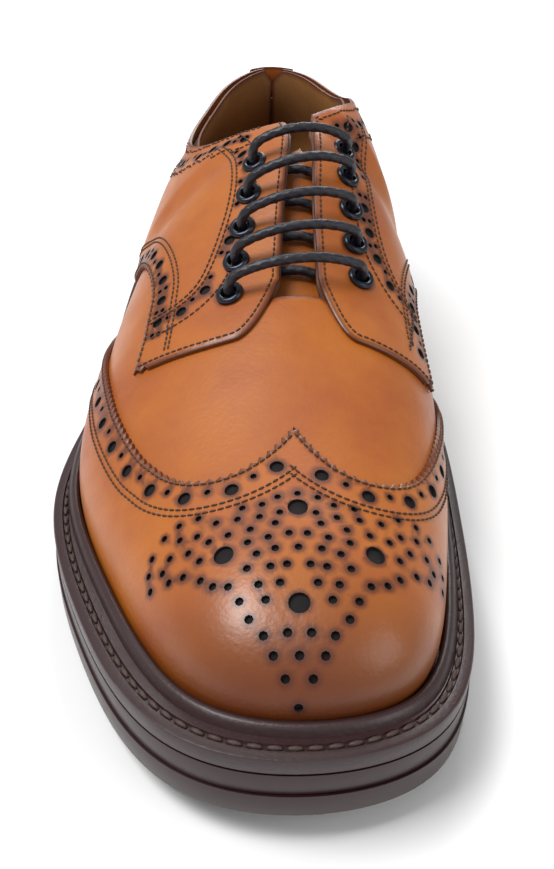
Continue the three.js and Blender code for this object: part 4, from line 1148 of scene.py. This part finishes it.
class SHOE_OT_vamp(bpy.types.Operator):
    """Make the vamp and the pierced, pinked wing cap over it"""

    bl_idname = "shoe.vamp"
    bl_label = "Vamp and wing cap"

    def execute(self, context):
        s = sizes()
        values = least(9 - in_wing(), vamp_back())
        loops = [even(PATTERN, q, 1.5) for q in PATTERN.outline(values)]
        cut_leather("vamp_leather", loops, VAMP, materials=[stuff("upper"), stuff("pit")], replaces=["vamp"],
                    within=values > 1)
        wing = PATTERN.outline(in_wing())[0]
        crest = above(1.5)
        rows = track_inside(wing, 5.4, above(4.5))
        holes = free_of(toe_medallion() + punches(rows, 12.0, s.big_hole / MM, s.small_hole / MM))
        pinked = gimped(PATTERN, wing, crest, s.gimp_pitch / MM, s.gimp_depth / MM)
        cut_leather("wing_cap_leather", [pinked], QUARTER, holes, replaces=["wing_cap"],
                    materials=[stuff("upper_toe"), stuff("pit")], within=in_wing() > 1)
        MADE["stitch_tracks"] = []
        for inset in (1.7, 8.6, 10.2):
            MADE["stitch_tracks"] += raised(track_inside(wing, inset, crest), QUARTER[1] + STITCH_LIFT)
        return {"FINISHED"}


def foot_line(y, up, down, side):
    return (down > 50) & (up > 1.5) & (y < 70)


def topline(y, up, down, side):
    return (y > 22) & (y < 132) & (up > 22)


def lower(y, up, down, side):
    return (down > 45) & (up > 4) & (y < 66)


def everywhere(y, up, down, side):
    return (up > 3) & (y < 146)


class SHOE_OT_quarters(bpy.types.Operator):
    """Make the two quarters with their facings, broguing and rows of stitches"""

    bl_idname = "shoe.quarters"
    bl_label = "Quarters"

    def execute(self, context):
        s = sizes()
        eyelets = {name: (np.array(p), np.array(n)) for name, p, n in EYELET_SPOTS}
        tree = KDTree(len(G.y))
        for i, p in enumerate(PATTERN.point.tolist()):
            tree.insert(p, i)
        tree.balance()
        for name, side in (("outer", -1), ("inner", 1)):
            values = least(on_side(side), beside_gap(), tab_front(), quarter_foot())
            outline = PATTERN.outline(values)[0]
            pinked = gimped(PATTERN, outline, foot_line, s.gimp_pitch / MM, s.gimp_depth / MM)
            holes = []
            for i in range(5):
                p, n = eyelets[f"{name}_{i + 1}"]
                holes.append((PATTERN.flat[tree.find(p + n * UPPER_OUT)[1]], 2.9))
            facing = facing_line(side)
            rows = track_inside(outline, 6.2, topline) + track_inside(outline, 5.2, lower)
            rows.append(PATTERN.step(facing, inward(facing, False), np.full(len(facing), 4.2)))
            holes = free_of(holes + punches(rows, 9.0, s.big_hole / MM, s.small_hole / MM))
            cut_leather(f"quarter_leather_{name}", [pinked], QUARTER, holes,
                        materials=[stuff("upper"), stuff("pit")], replaces=[f"quarter_{name}"],
                        within=values > 1)
            high = QUARTER[1] + STITCH_LIFT
            tracks = MADE.setdefault("stitch_tracks", [])
            tracks += raised(track_inside(outline, 1.7, everywhere), high)
            tracks += raised(track_inside(outline, 9.4, lower), high)
            tracks += raised(track_inside(outline, 11.0, lower), high)
            tracks += raised(track_inside(outline, 10.6, topline), high)
            tack = [(-43.0, -36.0), (-43.7, -44.6)] if side < 0 else [(47.0, -26.0), (41.5, -42.0)]
            for shift in (0.0, LOOP_SHIFT):
                ends = PATTERN.spot([(girth, y + shift * (side > 0)) for girth, y in tack])
                ends = ends + (shift * (side < 0), 0)
                tracks += raised([mix(ends[0], ends[1], np.linspace(0, 1, 12)[:, None])], high)
            for gap in (0.0, 1.6, 8.2):
                row = PATTERN.step(facing, inward(facing, False), np.full(len(facing), gap))
                tracks += raised([row], high)
        return {"FINISHED"}


def facing_line(side):
    """The stitched front of the facing: down from the topline behind the eyelets and round below them."""
    marks = [(26, 30), (24.5, 18), (24, 8), (24.7, -1.6), (28.1, -13.6), (32.7, -25.5), (40.3, -29.5),
             (52.0, -28.9)]
    if side > 0:
        marks = [(28, 34), (27.5, 26), (27, 16), (28, 6), (30.5, -4), (34.5, -15), (41, -22), (50, -24)]
    q = PATTERN.spot([(side * d, y) for d, y in marks])
    run = np.arange(len(q))
    fine = np.linspace(0, len(q) - 1, 80)
    q = np.column_stack([np.interp(fine, run, q[:, i]) for i in range(2)])
    for _ in range(30):
        q[1:-1] = (q[:-2] + 2 * q[1:-1] + q[2:]) / 4
    q = even(PATTERN, q, 1.0, closed=False)
    return q if side < 0 else q[::-1]


class SHOE_OT_heel_leathers(bpy.types.Operator):
    """Make the pinked heel counter and the strip over the back seam"""

    bl_idname = "shoe.heel_leathers"
    bl_label = "Counter and back strip"

    def execute(self, context):
        s, g = sizes(), G
        mats = [stuff("upper_heel"), stuff("pit")]
        values = least(g.y - 78 - 0.5 * g.up, counter_top())
        outline = PATTERN.outline(values)[0]
        rows = track_inside(outline, 5.0, above(4))
        holes = punches(rows, 9.0, s.big_hole / MM, s.small_hole / MM)
        pinked = gimped(PATTERN, outline, above(1.5), s.gimp_pitch / MM, s.gimp_depth / MM)
        cut_leather("counter_leather", [pinked], COUNTER, holes, materials=mats, replaces=["heel_counter"],
                    within=values > 1)
        tracks = MADE.setdefault("stitch_tracks", [])
        tracks += raised(track_inside(outline, 1.7, above(3)), COUNTER[1] + STITCH_LIFT)
        values = least(g.y - 110, 8 - np.abs(g.x - SEAM_X), g.up - 26)
        outline = PATTERN.outline(values)[0]
        cut_leather("back_strip_leather", [even(PATTERN, outline, 0.9)], STRIP, materials=mats,
                    replaces=["back_strip"], within=values > 1)
        tracks += raised(track_inside(outline, 1.3, above(0)), STRIP[1] + STITCH_LIFT)
        return {"FINISHED"}


class SHOE_OT_stitches(bpy.types.Operator):
    """Sew every row of stitches on the upper"""

    bl_idname = "shoe.stitches"
    bl_label = "Stitches"

    def execute(self, context):
        s = sizes()
        pitch = s.stitch_pitch / MM
        sew("upper_stitches", MADE["stitch_tracks"], stuff("thread_tan"), pitch,
            pitch * 0.92, s.thread / MM)
        return {"FINISHED"}


class SHOE_OT_tongue(bpy.types.Operator):
    """Make the tongue under the lacing"""

    bl_idname = "shoe.tongue"
    bl_label = "Tongue"

    def execute(self, context):
        g = G
        kk = np.repeat(np.arange(PATTERN.COLUMNS) * RING / PATTERN.COLUMNS, PATTERN.ROWS + 1)
        width = mix(20, 27, clamp((g.y + 56) / 50))
        values = least((TOE_K - RIDGE_K + 0.01 - np.abs(kk - TOE_K)) * 8, g.y + 56, width - g.down)
        outline = max(PATTERN.outline(values), key=len)
        obj = cut_leather("tongue_leather", [even(PATTERN, outline, 1.5)], (-5.7, -4.4), body=None,
                          materials=[stuff("upper"), stuff("pit")], within=values > 1)
        mesh = obj.data
        co = np.empty(len(mesh.vertices) * 3)
        mesh.vertices.foreach_get("co", co)
        co = co.reshape(-1, 3)
        lift = (4.4 - 0.5) * (1 - clamp((co[:, 1] / MM + 54) / 8)) * MM
        co[:, 2] += lift
        mesh.vertices.foreach_set("co", co.ravel())
        mesh.update()
        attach(obj, "tongue")
        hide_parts("tongue")
        return {"FINISHED"}


class SHOE_OT_eyelets(bpy.types.Operator):
    """Make the ten eyelets"""

    bl_idname = "shoe.eyelets"
    bl_label = "Eyelets"

    def execute(self, context):
        profile = [(2.2, 2.2), (2.2, 4.9), (2.45, 5.25), (3.0, 5.4), (3.6, 5.2), (3.95, 4.7), (3.95, 4.15),
                   (2.7, 4.1), (2.7, 2.2)]
        for name, foot, axis in EYELET_SPOTS:
            bm = bmesh.new()
            verts = [bm.verts.new((r, 0, z)) for r, z in profile]
            edges = [bm.edges.new((a, b)) for a, b in zip(verts, verts[1:] + verts[:1])]
            bmesh.ops.spin(bm, geom=verts + edges, cent=(0, 0, 0), axis=(0, 0, 1), angle=2 * math.pi,
                           steps=28, use_merge=True, use_duplicate=False)
            bmesh.ops.remove_doubles(bm, verts=bm.verts, dist=0.001)
            bmesh.ops.recalc_face_normals(bm, faces=bm.faces)
            turn = Vector((0, 0, 1)).rotation_difference(Vector(axis)).to_matrix().to_4x4()
            bmesh.ops.transform(bm, matrix=Matrix.Translation(Vector(foot)) @ turn, verts=bm.verts)
            finish_mesh("eyelet_ring_" + name, bm, "shoe", [stuff("gunmetal")],
                        ["eyelet_" + name], sharp=50)
        return {"FINISHED"}


class SHOE_OT_lace(bpy.types.Operator):
    """Make the braided lace along its route"""

    bl_idname = "shoe.lace"
    bl_label = "Lace"

    def execute(self, context):
        line = lace_line()
        run = np.concatenate([[0], np.cumsum(np.linalg.norm(np.diff(line, axis=0), axis=1))])
        at = np.linspace(0, run[-1], 1100)
        line = np.column_stack([np.interp(at, run, line[:, i]) for i in range(3)])
        radius = sizes().lace / MM / 2
        obj = tube("lace_braid", line, radius * LACE_SWELL, 16, [stuff("lace_wax")],
                   replaces=["lace"], braid=0.09)
        return {"FINISHED"}


class SHOE_OT_stage(bpy.types.Operator):
    """Make the floor, the lights and the camera"""

    bl_idname = "shoe.stage"
    bl_label = "Stage"

    def execute(self, context):
        c = colours()
        bm = bmesh.new()
        bmesh.ops.create_grid(bm, x_segments=2, y_segments=2, size=4000)
        bmesh.ops.translate(bm, vec=(0, 0, -0.3), verts=bm.verts)
        floor = finish_mesh("floor", bm, None, [], sharp=0)
        material, _, _ = new_material("floor_paper", Base_Color=rgba(c.backdrop), Roughness=0.9)
        floor.data.materials.append(material)
        world = bpy.data.worlds.new("studio")
        world.use_nodes = True
        world.node_tree.nodes["Background"].inputs["Color"].default_value = (1.0, 1.0, 1.0, 1)
        world.node_tree.nodes["Background"].inputs["Strength"].default_value = 0.45
        context.scene.view_settings.view_transform = "Standard"
        context.scene.world = world
        for name, spot, power, wide in (
            ("key", (-0.45, -0.15, 0.95), 10.0, 0.45), ("fill", (0.8, -0.5, 0.6), 2.6, 0.6),
            ("back", (0.1, 0.9, 0.7), 5.0, 0.5),
        ):
            light = bpy.data.lights.new(name, "AREA")
            light.energy, light.size = power, wide
            obj = bpy.data.objects.new(name, light)
            obj.location = spot
            obj.rotation_euler = (Vector((0, 0, 0.04)) - Vector(spot)).to_track_quat("-Z", "Y").to_euler()
            context.scene.collection.objects.link(obj)
        make_camera(context)
        return {"FINISHED"}


def make_camera(context):
    """Looks down on the toe from in front, tilted a little."""
    yaw, pitch, roll = 0.018, -0.611, 0.029
    ahead = Vector((math.sin(yaw) * math.cos(pitch), math.cos(yaw) * math.cos(pitch), math.sin(pitch)))
    right = Vector((math.cos(yaw), -math.sin(yaw), 0))
    up = right.cross(ahead)
    x = math.cos(roll) * right + math.sin(roll) * up
    y = -math.sin(roll) * right + math.cos(roll) * up
    data = bpy.data.cameras.new("camera")
    data.sensor_fit = "VERTICAL"
    data.sensor_height = 36.0
    data.angle_y = math.radians(52.0)
    data.clip_start = 0.01
    camera = bpy.data.objects.new("camera", data)
    turn = Matrix((x, y, -ahead)).transposed().to_4x4()
    camera.matrix_world = Matrix.Translation((0.00123, -0.2552, 0.1736)) @ turn
    context.scene.collection.objects.link(camera)
    context.scene.camera = camera


class SHOE_PT_panel(bpy.types.Panel):
    """Lists the shoe's pieces"""

    bl_label = "Shoe"
    bl_idname = "SHOE_PT_panel"
    bl_space_type = "VIEW_3D"
    bl_region_type = "UI"
    bl_category = "Shoe"

    def draw(self, context):
        layout = self.layout
        for settings in (context.scene.shoe_sizes, context.scene.shoe_colours):
            for key in type(settings).__annotations__:
                layout.prop(settings, key)
        for cls in OPERATORS:
            layout.operator(cls.bl_idname)


OPERATORS = (
    SHOE_OT_stage, SHOE_OT_finishes, SHOE_OT_lace, SHOE_OT_sole, SHOE_OT_heel, SHOE_OT_linings, SHOE_OT_vamp,
    SHOE_OT_quarters, SHOE_OT_heel_leathers, SHOE_OT_stitches, SHOE_OT_tongue, SHOE_OT_eyelets,
)
CLASSES = (ShoeSizes, ShoeColours, *OPERATORS, SHOE_PT_panel)


def register():
    for cls in CLASSES:
        bpy.utils.register_class(cls)
    bpy.types.Scene.shoe_sizes = PointerProperty(type=ShoeSizes)
    bpy.types.Scene.shoe_colours = PointerProperty(type=ShoeColours)


def unregister():
    del bpy.types.Scene.shoe_colours
    del bpy.types.Scene.shoe_sizes
    for cls in reversed(CLASSES):
        bpy.utils.unregister_class(cls)


def main():
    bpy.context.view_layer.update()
    register()
    for cls in OPERATORS:
        group_name, call = cls.bl_idname.split(".")
        getattr(getattr(bpy.ops, group_name), call)()
    bpy.context.view_layer.update()


if __name__ == "__main__":
    main()
